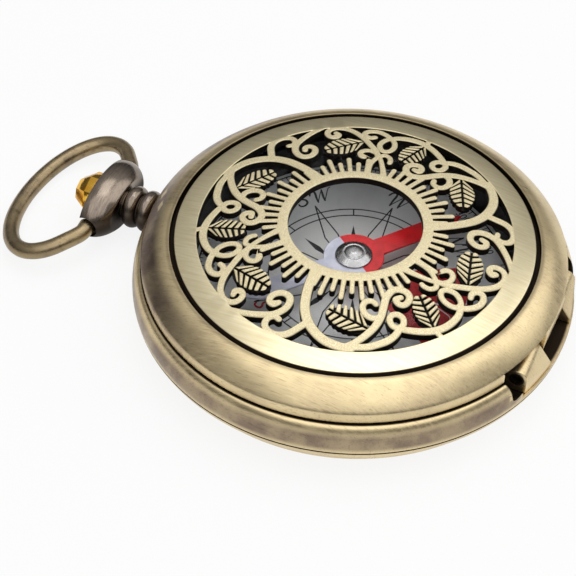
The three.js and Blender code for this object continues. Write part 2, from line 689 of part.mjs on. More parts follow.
function pierced() {
  const pieces = [flatRing(openworkR, grilleR), flatRing(WINDOW_R, windowRingR)];
  for (let k = 0; k < SECTORS; k += 1) {
    const turn = THREE.MathUtils.degToRad(FIRST_FORK_DEG - 90 + (k * 360) / SECTORS);
    for (const outline of sector) {
      const plate = plateOf(outline, 0, GRILLE_THICKNESS);
      plate.rotateZ(turn);
      pieces.push(plate);
    }
  }
  const geometry = shapeOf(joined(pieces));
  const position = geometry.attributes.position;
  const span = grilleR ** 2 - WINDOW_R ** 2;
  for (let i = 0; i < position.count; i += 1) {
    const rise = DOME_RISE * ((grilleR ** 2 - position.getX(i) ** 2 - position.getY(i) ** 2) / span);
    position.setZ(i, grilleBottomZ + position.getZ(i) + rise);
  }
  return geometry;
}

// Pendant pieces are turned about their own Z, which the group points along +Y.
const neckWaistR = NECK_R - NECK_WAIST;
function bead(z) {
  return [
    [neckWaistR, z],
    [NECK_R, z + BEAD_BEVEL],
    [NECK_R, z + BEAD_LENGTH - BEAD_BEVEL],
    [neckWaistR, z + BEAD_LENGTH],
  ];
}
const pendantNeck = turned([
  [stemBoreR, -SPIGOT_LENGTH],
  [spigotR, -SPIGOT_LENGTH],
  [spigotR, 0],
  ...bead(0),
  ...bead(BEAD_LENGTH + BEAD_GAP),
  [stemBoreR, neckLength],
], SMALL_SIDES);
const knobBall = new THREE.SphereGeometry(1, SMALL_SIDES, KNOB_RINGS);
knobBall.rotateX(Math.PI / 2);
knobBall.scale(KNOB_HALF_WIDTH, KNOB_HALF_HEIGHT, KNOB_HALF_LENGTH);
knobBall.translate(0, 0, knobZ);
const knobFaceZ = knobZ + KNOB_OUTER_CUT;
const wide = KNOB_HALF_WIDTH * 2;
const bowHoleR = BOW_WIRE_R + SLIDE_GAP;
const bowInnerX = KNOB_HALF_WIDTH - BOW_GRIP;
const bowHoleX = bowInnerX - BOW_SLIDE;
const buttonBoreR = BUTTON_R + SLIDE_GAP;
const buttonFloorZ = knobFaceZ - BUTTON_SKIRT - BUTTON_TRAVEL - WALL_GAP;
const buttonBore = new THREE.CylinderGeometry(buttonBoreR, buttonBoreR, wide, SMALL_SIDES);
buttonBore.rotateX(Math.PI / 2);
buttonBore.translate(0, 0, buttonFloorZ + wide / 2);
const stemBore = new THREE.CylinderGeometry(stemBoreR, stemBoreR, wide * 2, SMALL_SIDES);
stemBore.rotateX(Math.PI / 2);
stemBore.translate(0, 0, knobZ);
const pendantKnob = cutFrom(solid(knobBall), [
  block(-wide, wide, -wide, wide, knobFaceZ, knobFaceZ + wide),
  block(-wide, wide, -wide, wide, knobZ - KNOB_INNER_CUT - wide, knobZ - KNOB_INNER_CUT),
  buttonBore,
  stemBore,
  rodX(bowHoleR, bowHoleX, wide, 0, knobZ),
  rodX(bowHoleR, -wide, -bowHoleX, 0, knobZ),
]);
const buttonWallZ = knobFaceZ + BUTTON_WALL_HEIGHT;
const buttonSlopeZ = buttonWallZ + BUTTON_SLOPE_HEIGHT;
const buttonTopZ = buttonSlopeZ + BUTTON_CROWN_HEIGHT;
const buttonCap = turned([
  [0, knobFaceZ - BUTTON_SKIRT],
  [BUTTON_R, knobFaceZ - BUTTON_SKIRT],
  [BUTTON_R, buttonWallZ],
  [BUTTON_SLOPE_R, buttonSlopeZ],
  [BUTTON_TABLE_R, buttonTopZ],
  [0, buttonTopZ],
], BUTTON_SIDES);
const stemTipZ = hookFaceY + SEAT_GAP - neckFootY;
const buttonStem = turned([
  [0, stemTipZ],
  [STEM_R, stemTipZ],
  [STEM_R, knobFaceZ - BUTTON_SKIRT - SEAT_GAP / 2],
  [0, knobFaceZ - BUTTON_SKIRT - SEAT_GAP / 2],
], SMALL_SIDES);

// Bow: one round wire, bent to an oval, its two ends turned into the knob. Its outer end lies low,
// and the whole bow has slid to one side in its holes.
const bowPoints = [new THREE.Vector3(bowInnerX + WALL_GAP, 0, 0), new THREE.Vector3(KNOB_HALF_WIDTH, 0, 0)];
const BOW_ARC_POINTS = 18;
const bowStart = Math.asin((BOW_CENTRE - BOW_SHOULDER) / BOW_HALF_LENGTH);
for (let i = 0; i <= BOW_ARC_POINTS; i += 1) {
  const turn = -bowStart + (i / BOW_ARC_POINTS) * (Math.PI + 2 * bowStart);
  bowPoints.push(new THREE.Vector3(
    BOW_HALF_WIDTH * Math.cos(turn),
    0,
    BOW_CENTRE + BOW_HALF_LENGTH * Math.sin(turn),
  ));
}
bowPoints.push(new THREE.Vector3(-KNOB_HALF_WIDTH, 0, 0));
bowPoints.push(new THREE.Vector3(-bowInnerX - WALL_GAP, 0, 0));
const bowDrop = pendantZ - BOW_WIRE_R - SLIDE_GAP;
const bowTilt = -Math.asin(bowDrop / (BOW_CENTRE + BOW_HALF_LENGTH));
const bowPath = new THREE.CatmullRomCurve3(bowPoints, false, 'centripetal');
const wireSection = new THREE.Shape();
wireSection.absarc(0, 0, BOW_WIRE_R, 0, 2 * Math.PI, false);
const BOW_STEPS = 46;
const BOW_HALF_SIDES = 5;
const bow = new THREE.ExtrudeGeometry(wireSection, {
  steps: BOW_STEPS,
  curveSegments: BOW_HALF_SIDES,
  extrudePath: bowPath,
});

// Springs: a strip of steel bent round the spacer, with a hook or a finger standing up from it.
const springFootZ = BACK_FLOOR + WALL_GAP;
const springHeight = flangeBottomZ - WALL_GAP - springFootZ;
function strip(halfAngleDeg, towardsY) {
  const half = THREE.MathUtils.degToRad(halfAngleDeg);
  const middle = (Math.sign(towardsY) * Math.PI) / 2;
  const outline = new THREE.Shape();
  outline.absarc(0, 0, hookFaceY, middle - half, middle + half, false);
  outline.absarc(0, 0, hookBackY, middle + half, middle - half, true);
  return plateOf(outline, springFootZ, springHeight);
}
const lockSpring = joined([
  strip(LOCK_HALF_ANGLE_DEG, 1),
  block(-HOOK_HALF_WIDTH, HOOK_HALF_WIDTH, hookBackY, hookFaceY, springFootZ, hookTopZ),
  block(-HOOK_HALF_WIDTH, HOOK_HALF_WIDTH, hookBackY, lipOuterR, hookTopZ - HOOK_NOSE_HEIGHT, hookTopZ),
]);
const fingerTopZ = hingeZ - KNUCKLE_R;
const liftSpring = joined([
  strip(LIFT_HALF_ANGLE_DEG, -1),
  block(-FINGER_HALF_WIDTH, FINGER_HALF_WIDTH, -hookFaceY, -hookBackY, springFootZ, fingerTopZ),
]);

// Finishes
const bronze = { color: 0xa8956a, roughness: 0.42, metalness: 1.0 };
const darkBronze = { color: 0x6f6452, roughness: 0.45, metalness: 1.0 };
const gold = { color: 0xd8b35a, roughness: 0.18, metalness: 1.0 };
const steel = { color: 0xb9bcc0, roughness: 0.3, metalness: 1.0 };
const blackPlastic = { color: 0x17171a, roughness: 0.55, metalness: 0.0 };
const dialSilver = { color: 0xb4b4b8, roughness: 0.5, metalness: 0.2 };
const red = { color: 0xb42a32, roughness: 0.45, metalness: 0.0 };
const ruby = { color: 0xa01c3c, roughness: 0.15, metalness: 0.0 };
const glass = { color: 0xeef2f4, roughness: 0.05, metalness: 0.0, transparent: true, opacity: 0.25 };

function piece(name, body, finish) {
  const geometry = body.isBufferGeometry ? cleaned(body) : shapeOf(body);
  geometry.computeVertexNormals();
  const mesh = new THREE.Mesh(geometry, new THREE.MeshStandardMaterial(finish));
  mesh.name = name;
  return mesh;
}

const compass = new THREE.Group();
compass.add(
  piece('back_cover', backCover, bronze),
  piece('mid_case', midCase, bronze),
  piece('spacer_ring', spacer, blackPlastic),
  piece('capsule_cup', capsuleCup, blackPlastic),
  piece('dial_card', dialCard, dialSilver),
  piece('pivot_pin', pivotPin, steel),
  piece('crystal', crystal, glass),
  piece('crystal_ring', crystalRing, blackPlastic),
  piece('lift_spring', liftSpring, steel),
  piece('lock_spring', lockSpring, steel),
  piece('case_knuckle_left', caseKnuckle(-1), bronze),
  piece('case_knuckle_right', caseKnuckle(1), bronze),
  piece('hinge_pin', hingePin, steel),
);

const needle = new THREE.Group();
needle.rotation.z = THREE.MathUtils.degToRad(NEEDLE_BEARING_DEG);
needle.add(
  piece('needle_blade', needleBlade, red),
  piece('needle_hub', needleHub, steel),
  piece('needle_jewel', needleJewel, ruby),
);
compass.add(needle);

const lid = new THREE.Group();
lid.add(
  piece('lid_bezel', lidBezel, bronze),
  piece('lid_grille', pierced(), bronze),
  piece('lid_knuckle', lidKnuckle, bronze),
);
compass.add(lid);

const pendant = new THREE.Group();
pendant.position.set(0, neckFootY, pendantZ);
pendant.rotation.x = -Math.PI / 2;
pendant.add(
  piece('pendant_neck', pendantNeck, darkBronze),
  piece('pendant_knob', pendantKnob, darkBronze),
  piece('button_cap', buttonCap, gold),
  piece('button_stem', buttonStem, steel),
);
const bowSwing = new THREE.Group();
bowSwing.position.set(-BOW_SLIDE, 0, knobZ);
bowSwing.rotation.x = bowTilt;
bowSwing.add(piece('bow', bow, darkBronze));
pendant.add(bowSwing);
compass.add(pendant);

export default compass;
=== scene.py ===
# %% [markdown]
# # A pocket compass in a pierced bronze case
# The CAD model of this compass is already made, with its sizes and its moving bodies. This lesson
# dresses it: each visible piece is modelled again with fuller curves, and gets a finish made of nodes.
# The frame is loaded first, because every piece is placed by its numbers.

# %% Load the frame
import math

import bpy
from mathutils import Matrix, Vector


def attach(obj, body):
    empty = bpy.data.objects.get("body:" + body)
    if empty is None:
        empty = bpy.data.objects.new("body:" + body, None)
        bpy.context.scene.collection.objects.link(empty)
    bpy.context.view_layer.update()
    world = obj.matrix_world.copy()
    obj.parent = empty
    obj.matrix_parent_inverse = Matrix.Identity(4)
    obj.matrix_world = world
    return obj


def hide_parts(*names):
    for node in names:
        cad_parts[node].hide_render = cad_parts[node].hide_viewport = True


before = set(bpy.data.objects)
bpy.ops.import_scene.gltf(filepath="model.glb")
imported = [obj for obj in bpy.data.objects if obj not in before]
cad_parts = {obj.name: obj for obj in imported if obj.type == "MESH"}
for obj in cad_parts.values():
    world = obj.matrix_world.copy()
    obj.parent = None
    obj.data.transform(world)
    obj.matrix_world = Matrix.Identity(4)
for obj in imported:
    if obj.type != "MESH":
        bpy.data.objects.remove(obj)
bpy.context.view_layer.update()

# %% [markdown]
# ## Sizes that several pieces share
# A workshop drawing states a size once. The axes of the hinge and the pendant, and the places where
# pieces meet, are written here in millimetres. The finishes read them too, so that the painted shade of
# a groove stays where the groove is when a size is changed.

# %% Shared sizes, in millimetres
MM = 0.001
SEAM_Z, WIDEST_Z, MID_TOP_Z = 2.2, 3.9, 6.6
SHELF_Z = 4.65
CASE_R, SHOULDER_R = 23.545, 22.5
LINE_Z, LINE_WIDTH, LINE_DEPTH = 3.305, 0.26, 0.24
HINGE_Y, HINGE_Z = -20.95, 5.6
TROUGH_HALF = 9.8
POCKET_Y, POCKET_FLOOR_Z = -19.55, 3.9
PENDANT_Z = 3.4
STEM_BORE_R = 0.65
GROOVE_R, RIM_TOP_Z = 19.35, 10.05
WINDOW_R, BORDER_R, GRILLE_R = 7.0, 16.5, 18.85
GRILLE_BOTTOM, GRILLE_THICKNESS = 9.2, 0.85
NEEDLE_BEARING_DEG = -38.2
SMOOTH_ANGLE = math.radians(40)
print("hinge axis at y, z:", (HINGE_Y, HINGE_Z), "pendant axis at z:", PENDANT_Z)

# %% [markdown]
# ## The camera
# A product picture is taken with a long lens from above one side. The camera could be aimed with a
# constraint, but a place, a heading and a pitch say the same in three numbers and stay editable.

# %% Camera
CAMERA_PLACE = (-110.75, -42.36, 127.72)
CAMERA_HEADING_DEG = 24.28
CAMERA_PITCH_DEG = 46.75
CAMERA_ROLL_DEG = 0.46
LENS_MM, SENSOR_MM = 100, 36

bpy.ops.object.select_all(action="DESELECT")
bpy.ops.object.camera_add(
    location=[c * MM for c in CAMERA_PLACE],
    rotation=(math.radians(90 - CAMERA_PITCH_DEG), 0, math.radians(CAMERA_HEADING_DEG - 90)),
)
camera = bpy.context.object
camera.name = "camera"
camera.rotation_euler.rotate_axis("Z", math.radians(CAMERA_ROLL_DEG))
camera.data.lens = LENS_MM
camera.data.sensor_width = SENSOR_MM
camera.data.clip_start = 0.005
camera.data.clip_end = 10
bpy.context.scene.camera = camera
print("camera at", [round(c, 4) for c in camera.location])

# %% [markdown]
# ## Turning on a lathe
# Most of this object is turned: case, lid, beads, button. On a real lathe a tool follows a profile
# while the work spins. Blender has the same move. One vertex is extruded along the profile, and the
# Spin operator sweeps that line round an axis. Corners are rounded in the profile itself, so no bevel
# is needed afterwards.

# %% The lathe
TURN_STEPS, FINE_STEPS, BORE_STEPS = 180, 240, 48
CORNER_STEPS = 4
MERGE = 1e-7
AXES = {"X": (1, 0, 0), "Y": (0, 1, 0), "Z": (0, 0, 1)}


def only(*objects):
    """Leaves these objects selected and nothing else; the first one is active."""
    if bpy.context.mode != "OBJECT":
        bpy.ops.object.mode_set(mode="OBJECT")
    bpy.ops.object.select_all(action="DESELECT")
    for one in objects:
        one.select_set(True)
    if objects:
        bpy.context.view_layer.objects.active = objects[0]


def rounded(corners):
    """A profile of (radius, height) or (radius, height, rounding), with its corners rounded."""
    line = []
    for i, corner in enumerate(corners):
        here = Vector(corner[:2])
        if len(corner) < 3:
            line.append(here)
            continue
        before = Vector(corners[i - 1][:2]) - here
        after = Vector(corners[(i + 1) % len(corners)][:2]) - here
        reach = min(corner[2], before.length * 0.49, after.length * 0.49)
        start = here + before.normalized() * reach
        end = here + after.normalized() * reach
        steps = CORNER_STEPS + round(reach * 4)
        for step in range(steps + 1):
            t = step / steps
            line.append(start * (1 - t) ** 2 + here * 2 * t * (1 - t) + end * t**2)
    return line


def placed(radius, height, axis, centre):
    """The point of a profile in space, in metres."""
    x, y, z = centre
    if axis == "X":
        return Vector((x + height, y, z + radius)) * MM
    if axis == "Y":
        return Vector((x + radius, y + height, z)) * MM
    return Vector((x + radius, y, z + height)) * MM


def turned(name, corners, axis="Z", centre=(0, 0, 0), steps=TURN_STEPS):
    """A turned solid. A profile that stands off the axis is closed into a ring."""
    line = [placed(p.x, p.y, axis, centre) for p in rounded(corners)]
    if corners[0][0] > 0 or corners[-1][0] > 0:
        line.append(line[0])
    only()
    bpy.ops.mesh.primitive_plane_add(size=MM, location=line[0])
    piece = bpy.context.object
    piece.name = piece.data.name = name
    bpy.ops.object.transform_apply(location=True, rotation=True, scale=True)
    bpy.ops.object.mode_set(mode="EDIT")
    bpy.ops.mesh.select_all(action="SELECT")
    bpy.ops.mesh.merge(type="CENTER")
    for a, b in zip(line, line[1:]):
        bpy.ops.mesh.extrude_vertices_move(TRANSFORM_OT_translate={"value": b - a})
    bpy.ops.mesh.select_all(action="SELECT")
    bpy.ops.mesh.spin(
        steps=steps, angle=2 * math.pi, center=[c * MM for c in centre], axis=AXES[axis]
    )
    bpy.ops.mesh.select_all(action="SELECT")
    bpy.ops.mesh.remove_doubles(threshold=MERGE)
    bpy.ops.mesh.normals_make_consistent(inside=False)
    bpy.ops.object.mode_set(mode="OBJECT")
    bpy.ops.object.shade_smooth_by_angle(angle=SMOOTH_ANGLE)
    return piece


print("lathe ready:", TURN_STEPS, "steps to a turn")

# %% [markdown]
# ## Cutting, joining and softening
# Pockets, bores and notches are milled out of the turned work. In Blender a cutter of the pocket's
# shape is taken away with a Boolean modifier, which is applied at once, so the piece stays one mesh.
# Edges that stay sharp are broken with a narrow bevel, as with a file.

# %% Cutters
def box(name, low, high):
    """A block between two corners, in millimetres."""
    only()
    size = [b - a for a, b in zip(low, high)]
    middle = [(a + b) / 2 * MM for a, b in zip(low, high)]
    bpy.ops.mesh.primitive_cube_add(size=MM, location=middle)
    block = bpy.context.object
    block.name = block.data.name = name
    bpy.ops.transform.resize(value=size)
    bpy.ops.object.transform_apply(location=True, rotation=True, scale=True)
    return block


def combine(piece, others, operation, solver="EXACT"):
    """Applies one Boolean of piece with all the others, then removes the others."""
    tools = bpy.data.collections.new("tools")
    for other in others:
        tools.objects.link(other)
    only(piece)
    bpy.ops.object.modifier_add(type="BOOLEAN")
    cut = piece.modifiers[-1]
    cut.operation = operation
    cut.solver = solver
    cut.operand_type = "COLLECTION"
    cut.collection = tools
    bpy.ops.object.modifier_apply(modifier=cut.name)
    only(*others)
    bpy.ops.object.delete()
    bpy.data.collections.remove(tools)
    only(piece)
    return piece


def cut_out(piece, *cutters):
    """Takes the cutters away from a piece."""
    combine(piece, cutters, "DIFFERENCE")
    bpy.ops.object.shade_smooth_by_angle(angle=SMOOTH_ANGLE)
    return piece


def softened(piece, width, segments, angle_deg):
    """Bevels the edges of a piece that are sharper than an angle; the width is in millimetres."""
    only(piece)
    bpy.ops.object.modifier_add(type="BEVEL")
    edge = piece.modifiers[-1]
    edge.width = width * MM
    edge.segments = segments
    edge.limit_method = "ANGLE"
    edge.angle_limit = math.radians(angle_deg)
    bpy.ops.object.modifier_apply(modifier=edge.name)


def dress(piece, body, finish, slot, *nodes):
    """Gives a finished piece its material and its body, and hides the CAD nodes that it stands for."""
    piece.data.materials.clear()
    piece.data.materials.append(finish)
    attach(piece, body)
    if nodes:
        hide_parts(*nodes)
    print(f"{piece.name}: {len(piece.data.polygons)} faces on {body}")


print("cutting, joining and softening ready")

# %% [markdown]
# ## Finishes
# The case is antique bronze: plated, blackened, then brushed so that the high places shine through.
# Three effects come back in many of its finishes, so each is a node group: brush marks, tarnish
# patches and a fine grit. A group only puts out masks; the shader stays in each material.

# %% Node helpers and shared groups
def srgb(red, green, blue):
    """A colour as it is picked on screen, made linear for the shader."""
    def linear(c):
        c /= 255
        return c / 12.92 if c <= 0.04045 else ((c + 0.055) / 1.055) ** 2.4

    return (linear(red), linear(green), linear(blue), 1)


def node(tree, kind, inputs=None, **settings):
    """Adds a node; an input is either a value or the socket that feeds it."""
    made = tree.nodes.new(kind)
    for key, value in settings.items():
        setattr(made, key, value)
    for key, value in (inputs or {}).items():
        if isinstance(value, bpy.types.NodeSocket):
            tree.links.new(value, made.inputs[key])
        else:
            made.inputs[key].default_value = value
    return made


def math_node(tree, operation, first, second=0.0):
    return node(tree, "ShaderNodeMath", {0: first, 1: second}, operation=operation).outputs[0]


def ramp(tree, value, low, high, start=0.0, end=1.0):
    """A value between low and high becomes a smooth value between start and end."""
    return node(
        tree,
        "ShaderNodeMapRange",
        {"Value": value, "From Min": low, "From Max": high, "To Min": start, "To Max": end},
        interpolation_type="SMOOTHSTEP",
    ).outputs["Result"]


def fade(tree, length, low, high, start=0.0, end=1.0):
    """A ramp over a length, with its two limits in millimetres."""
    return ramp(tree, length, low * MM, high * MM, start, end)


def blend_colours(tree, factor, first, second):
    """The first colour where the factor is 0 and the second where it is 1."""
    return node(
        tree, "ShaderNodeMix", {"Factor": factor, 6: first, 7: second}, data_type="RGBA"
    ).outputs[2]


def new_group(name, inputs, outputs):
    """A shader node group with named sockets; returns it with its two end nodes."""
    group = bpy.data.node_groups.new(name, "ShaderNodeTree")
    for label, kind in inputs:
        group.interface.new_socket(label, in_out="INPUT", socket_type=kind)
    for label in outputs:
        group.interface.new_socket(label, in_out="OUTPUT", socket_type="NodeSocketFloat")
    return group, group.nodes.new("NodeGroupInput"), group.nodes.new("NodeGroupOutput")


def noise(tree, vector, scale, detail=3.0, roughness=0.55):
    return node(
        tree,
        "ShaderNodeTexNoise",
        {"Vector": vector, "Scale": scale, "Detail": detail, "Roughness": roughness},
    ).outputs[0]


brush_marks, enter, leave = new_group(
    "brush marks",
    [("Vector", "NodeSocketVector"), ("Stretch", "NodeSocketVector")],
    ["Streaks", "Scratches"],
)
stretched = node(
    brush_marks, "ShaderNodeMapping", {"Vector": enter.outputs[0], "Scale": enter.outputs[1]}
).outputs[0]
broad = noise(brush_marks, stretched, 1.0, 4.0, 0.6)
hairline = noise(brush_marks, stretched, 3.1, 2.0, 0.5)
brush_marks.links.new(broad, leave.inputs["Streaks"])
brush_marks.links.new(ramp(brush_marks, hairline, 0.56, 0.7), leave.inputs["Scratches"])

tarnish, enter, leave = new_group(
    "tarnish", [("Vector", "NodeSocketVector"), ("Scale", "NodeSocketFloat")], ["Patches"]
)
patches = noise(tarnish, enter.outputs[0], enter.outputs[1], 5.0, 0.6)
tarnish.links.new(ramp(tarnish, patches, 0.36, 0.66), leave.inputs["Patches"])

grit, enter, leave = new_group(
    "grit", [("Vector", "NodeSocketVector"), ("Scale", "NodeSocketFloat")], ["Grains"]
)
grains = noise(grit, enter.outputs[0], enter.outputs[1], 2.0, 0.7)
grit.links.new(grains, leave.inputs["Grains"])
print("node groups:", [g.name for g in (brush_marks, tarnish, grit)])


# %% [markdown]
# ## Materials from the groups
# Each material reads Object coordinates, so a pattern keeps its scale in millimetres and stays put
# when the piece swings. Metal keeps Metallic at 1 on the shader's own socket; colour, roughness and
# bump come from the masks.

# %% A material to start from
def new_material(name, **sockets):
    """A node material with its Principled shader and its Object coordinates."""
    material = bpy.data.materials.new(name)
    material.use_nodes = True
    tree = material.node_tree
    shader = next(n for n in tree.nodes if n.type == "BSDF_PRINCIPLED")
    for label, value in sockets.items():
        shader.inputs[label.replace("_", " ")].default_value = value
    place = node(tree, "ShaderNodeTexCoord").outputs["Object"]
    return material, tree, shader, place


def use_group(tree, group, **inputs):
    """Puts a shared group into a material; an input is a value or a socket."""
    made = tree.nodes.new("ShaderNodeGroup")
    made.node_tree = group
    for label, value in inputs.items():
        if isinstance(value, bpy.types.NodeSocket):
            tree.links.new(value, made.inputs[label])
        else:
            made.inputs[label].default_value = value
    return made.outputs


def feed(tree, shader, **sockets):
    """Links masks and colours to the shader's inputs."""
    for label, value in sockets.items():
        tree.links.new(value, shader.inputs[label.replace("_", " ")])


def bump(tree, shader, height, strength, depth):
    """Relief too fine to model; its depth is in millimetres."""
    made = node(
        tree, "ShaderNodeBump", {"Height": height, "Strength": strength, "Distance": depth * MM}
    )
    feed(tree, shader, Normal=made.outputs["Normal"])


def radius_of(tree, place, across=(1, 1, 0)):
    """Distance from an axis in metres; across is 1 in the two directions off the axis."""
    flat = node(tree, "ShaderNodeVectorMath", {0: place, 1: across}, operation="MULTIPLY")
    return node(
        tree, "ShaderNodeVectorMath", {0: flat.outputs[0]}, operation="LENGTH"
    ).outputs["Value"]


def split(tree, place):
    """The X, Y and Z of a place."""
    return node(tree, "ShaderNodeSeparateXYZ", {0: place}).outputs


def both(tree, first, *others):
    """The product of masks: where all of them hold."""
    for other in others:
        first = math_node(tree, "MULTIPLY", first, other)
    return first


def between(tree, length, low, full, fall, high):
    """1 from full to fall, and 0 below low and above high, in millimetres."""
    return both(tree, fade(tree, length, low, full), fade(tree, length, high, fall))


print("material helpers ready")

# %% [markdown]
# ### Brushed bronze
# The plated metal is dipped black and brushed, which leaves light streaks, grey patches and black in
# every corner, where painted shade adds to the black. One function makes them all; each finish adds its
# own masks of painted shade, and two add a grey-brown of patina and painted dark reflection. The masks
# follow the sizes of the piece, so that the painted shade stays in its grooves, gaps and undersides.

# %% Brushed bronze of the case, the lid and the bow
BRONZE_LIGHT = srgb(228, 208, 164)
BRONZE_BROWN = srgb(170, 148, 120)
# Grey-brown for patina and for a painted dark reflection.
REFLECTION_AND_PATINA_GREY = srgb(118, 101, 90)
BRONZE_BLACK = srgb(44, 36, 29)
BRUSH_STRETCH = (5200, 170, 1700)
BELLY_Z = (3.4, 4.2, 5.3, 6.3)
SLOPE_Z, PENDANT_SIDE_Y = (7.2, 8.0, 9.2, 9.9), (6, 17)


def brushed_bronze(name, light, brown, stretch, shade=None, grey_reflection_and_patina=None, rough=(0.27, 0.42)):
    """Antique bronze; shade masks the painted shade, and the grey mask the patina and the painted dark
    reflection.
    """
    material, tree, shader, place = new_material(name, Metallic=1.0)
    brush = use_group(tree, brush_marks, Vector=place, Stretch=stretch)
    worn = use_group(tree, tarnish, Vector=place, Scale=150.0)["Patches"]
    colour = blend_colours(tree, math_node(tree, "MULTIPLY", worn, 0.6), light, brown)
    colour = blend_colours(tree, ramp(tree, brush["Streaks"], 0.3, 0.75), colour, light)
    # Grey-brown where patina and a dark reflection are painted.
    if grey_reflection_and_patina:
        colour = blend_colours(tree, grey_reflection_and_patina(tree, place), colour, REFLECTION_AND_PATINA_GREY)
    colour = blend_colours(
        tree, math_node(tree, "MULTIPLY", brush["Scratches"], 0.28), colour, BRONZE_BLACK
    )
    # Pointiness makes sharp edges lighter, as wear and as a painted highlight, and creases darker, as
    # blackening and painted shade.
    edge = node(tree, "ShaderNodeNewGeometry").outputs["Pointiness"]
    colour = blend_colours(tree, ramp(tree, edge, 0.53, 0.6, 0.0, 0.7), colour, light)
    dark = ramp(tree, edge, 0.47, 0.42, 0.0, 0.8)
    if shade:
        dark = math_node(tree, "MAXIMUM", dark, shade(tree, place))
    colour = blend_colours(tree, dark, colour, BRONZE_BLACK)
    roughness = ramp(tree, brush["Streaks"], 0.25, 0.75, *rough)
    roughness = math_node(tree, "MAXIMUM", roughness, math_node(tree, "MULTIPLY", dark, 0.6))
    feed(tree, shader, Base_Color=colour, Roughness=roughness)
    bump(tree, shader, brush["Streaks"], 0.35, 0.03)
    return material


def groove_shade(tree, place):
    """Painted shade inside the groove, and grey along the rim's edge beside it."""
    away = radius_of(tree, place)
    inside = fade(tree, away, GROOVE_R + 0.15, GROOVE_R - 0.01)
    below = fade(tree, split(tree, place)["Z"], RIM_TOP_Z - 0.04, RIM_TOP_Z - 0.18)
    edge = fade(tree, away, GROOVE_R + 0.55, GROOVE_R + 0.15, 0, 0.45)
    return math_node(tree, "MAXIMUM", both(tree, inside, below), edge)


def distance_from(tree, value, middle):
    return math_node(tree, "ABSOLUTE", math_node(tree, "SUBTRACT", value, middle))


def seat_shade(tree, place):
    """Dark in the turned line; painted shade under the lid's foot; blackening and painted shade in the
    hinge's pocket.
    """
    axes = split(tree, place)
    radius = radius_of(tree, place)
    line = fade(tree, distance_from(tree, axes["Z"], LINE_Z * MM), 0.16, 0.1)
    under_lid = both(
        tree,
        fade(tree, radius, SHOULDER_R + 0.19, SHOULDER_R + 0.01),
        fade(tree, axes["Z"], SHELF_Z - 0.65, SHELF_Z - 0.05),
    )
    pocket = both(
        tree,
        fade(tree, axes["Y"], POCKET_Y + 0.35, POCKET_Y - 0.05),
        fade(tree, distance_from(tree, axes["X"], 0.0), TROUGH_HALF + 0.2, TROUGH_HALF - 0.2),
        fade(tree, axes["Z"], POCKET_FLOOR_Z - 0.1, POCKET_FLOOR_Z - 0.02),
        fade(tree, radius, CASE_R - 0.145, CASE_R - 0.445),
    )
    return math_node(tree, "MAXIMUM", line, math_node(tree, "MAXIMUM", under_lid, pocket))


def bore_shade(tree, place):
    """Painted shade round the hinge pin, which shows as a dark hole in each knuckle."""
    pin = (0, HINGE_Y * MM, HINGE_Z * MM)
    off_pin = node(tree, "ShaderNodeVectorMath", {0: place, 1: pin}, operation="SUBTRACT")
    return fade(tree, radius_of(tree, off_pin.outputs[0], (0, 1, 1)), 0.92, 0.72)


def low_shade(tree, place):
    """Painted shade on the underside of the pendant, below its middle."""
    return fade(tree, split(tree, place)["Z"], PENDANT_Z + 2.4, PENDANT_Z, 0.0, 0.93)


def worn_edge(tree, place, mask, strength):
    """Breaks a mask of patina and painted dark reflection up with soft patches and brings it to a
    strength.
    """
    patches = use_group(tree, tarnish, Vector=place, Scale=210.0)["Patches"]
    return both(tree, mask, ramp(tree, patches, 0, 1, strength, strength * 0.7))


def flank_patina(tree, place):
    """Grey-brown round the belly of the case, as patina and as a painted dark reflection."""
    belly = between(tree, split(tree, place)["Z"], *BELLY_Z)
    return worn_edge(tree, place, belly, 0.9)


def pendant_patina(tree, place):
    """A painted dark reflection, grey-brown, on the slope of the lid's rim towards the pendant."""
    axes = split(tree, place)
    slope = between(tree, axes["Z"], *SLOPE_Z)
    return worn_edge(tree, place, both(tree, slope, fade(tree, axes["Y"], *PENDANT_SIDE_Y)), 1.0)


PLATED = (BRONZE_LIGHT, BRONZE_BROWN, BRUSH_STRETCH)
case_bronze = brushed_bronze("case bronze", *PLATED, seat_shade, flank_patina)
lid_bronze = brushed_bronze("lid bronze", *PLATED, groove_shade, pendant_patina)
hinge_bronze = brushed_bronze("hinge bronze", *PLATED, bore_shade)
bow_bronze = brushed_bronze("bow bronze", srgb(158, 140, 108), srgb(78, 67, 65), (700, 420, 700))
dark_bronze = brushed_bronze(
    "dark bronze", srgb(148, 135, 122), srgb(86, 77, 73), (600, 5200, 600), low_shade, rough=(0.14, 0.26)
)
finishes = (case_bronze, lid_bronze, hinge_bronze, bow_bronze, dark_bronze)
print("brushed finishes:", [m.name for m in finishes])

# %% [markdown]
# ### Sanded openwork
# The pierced plate is sand-blasted cream and gold, with a brushed border, and its walls are black, as
# blackening and as painted shade. The black could be painted on by hand; here each point's depth under
# the domed top says how dark it is, so every wall of the drawing turns black by itself.

# %% Sanded openwork with black walls of blackening and painted shade
OPENWORK_CREAM = srgb(246, 236, 202)
OPENWORK_GOLD = srgb(220, 202, 156)
# Colours of the blackening and painted shade on the walls.
WALL_SHADE_BLACK, WALL_SHADE_GREY = srgb(30, 24, 19), srgb(112, 96, 82)
DOME_RISE = 1.7
DOME_FALL = DOME_RISE / (GRILLE_R**2 - WINDOW_R**2)


def dome_rise(radius):
    """How far the pierced plate is domed up at a radius, in millimetres."""
    return DOME_FALL * (GRILLE_R**2 - radius**2)


def depth_below_dome(tree, place):
    """Metres below the domed top of the pierced plate."""
    radius = radius_of(tree, place)
    square = math_node(tree, "MULTIPLY", radius, radius)
    top = (GRILLE_BOTTOM + GRILLE_THICKNESS + DOME_FALL * GRILLE_R**2) * MM
    surface = math_node(tree, "SUBTRACT", top, math_node(tree, "MULTIPLY", square, DOME_FALL / MM))
    return math_node(tree, "SUBTRACT", surface, split(tree, place)["Z"])


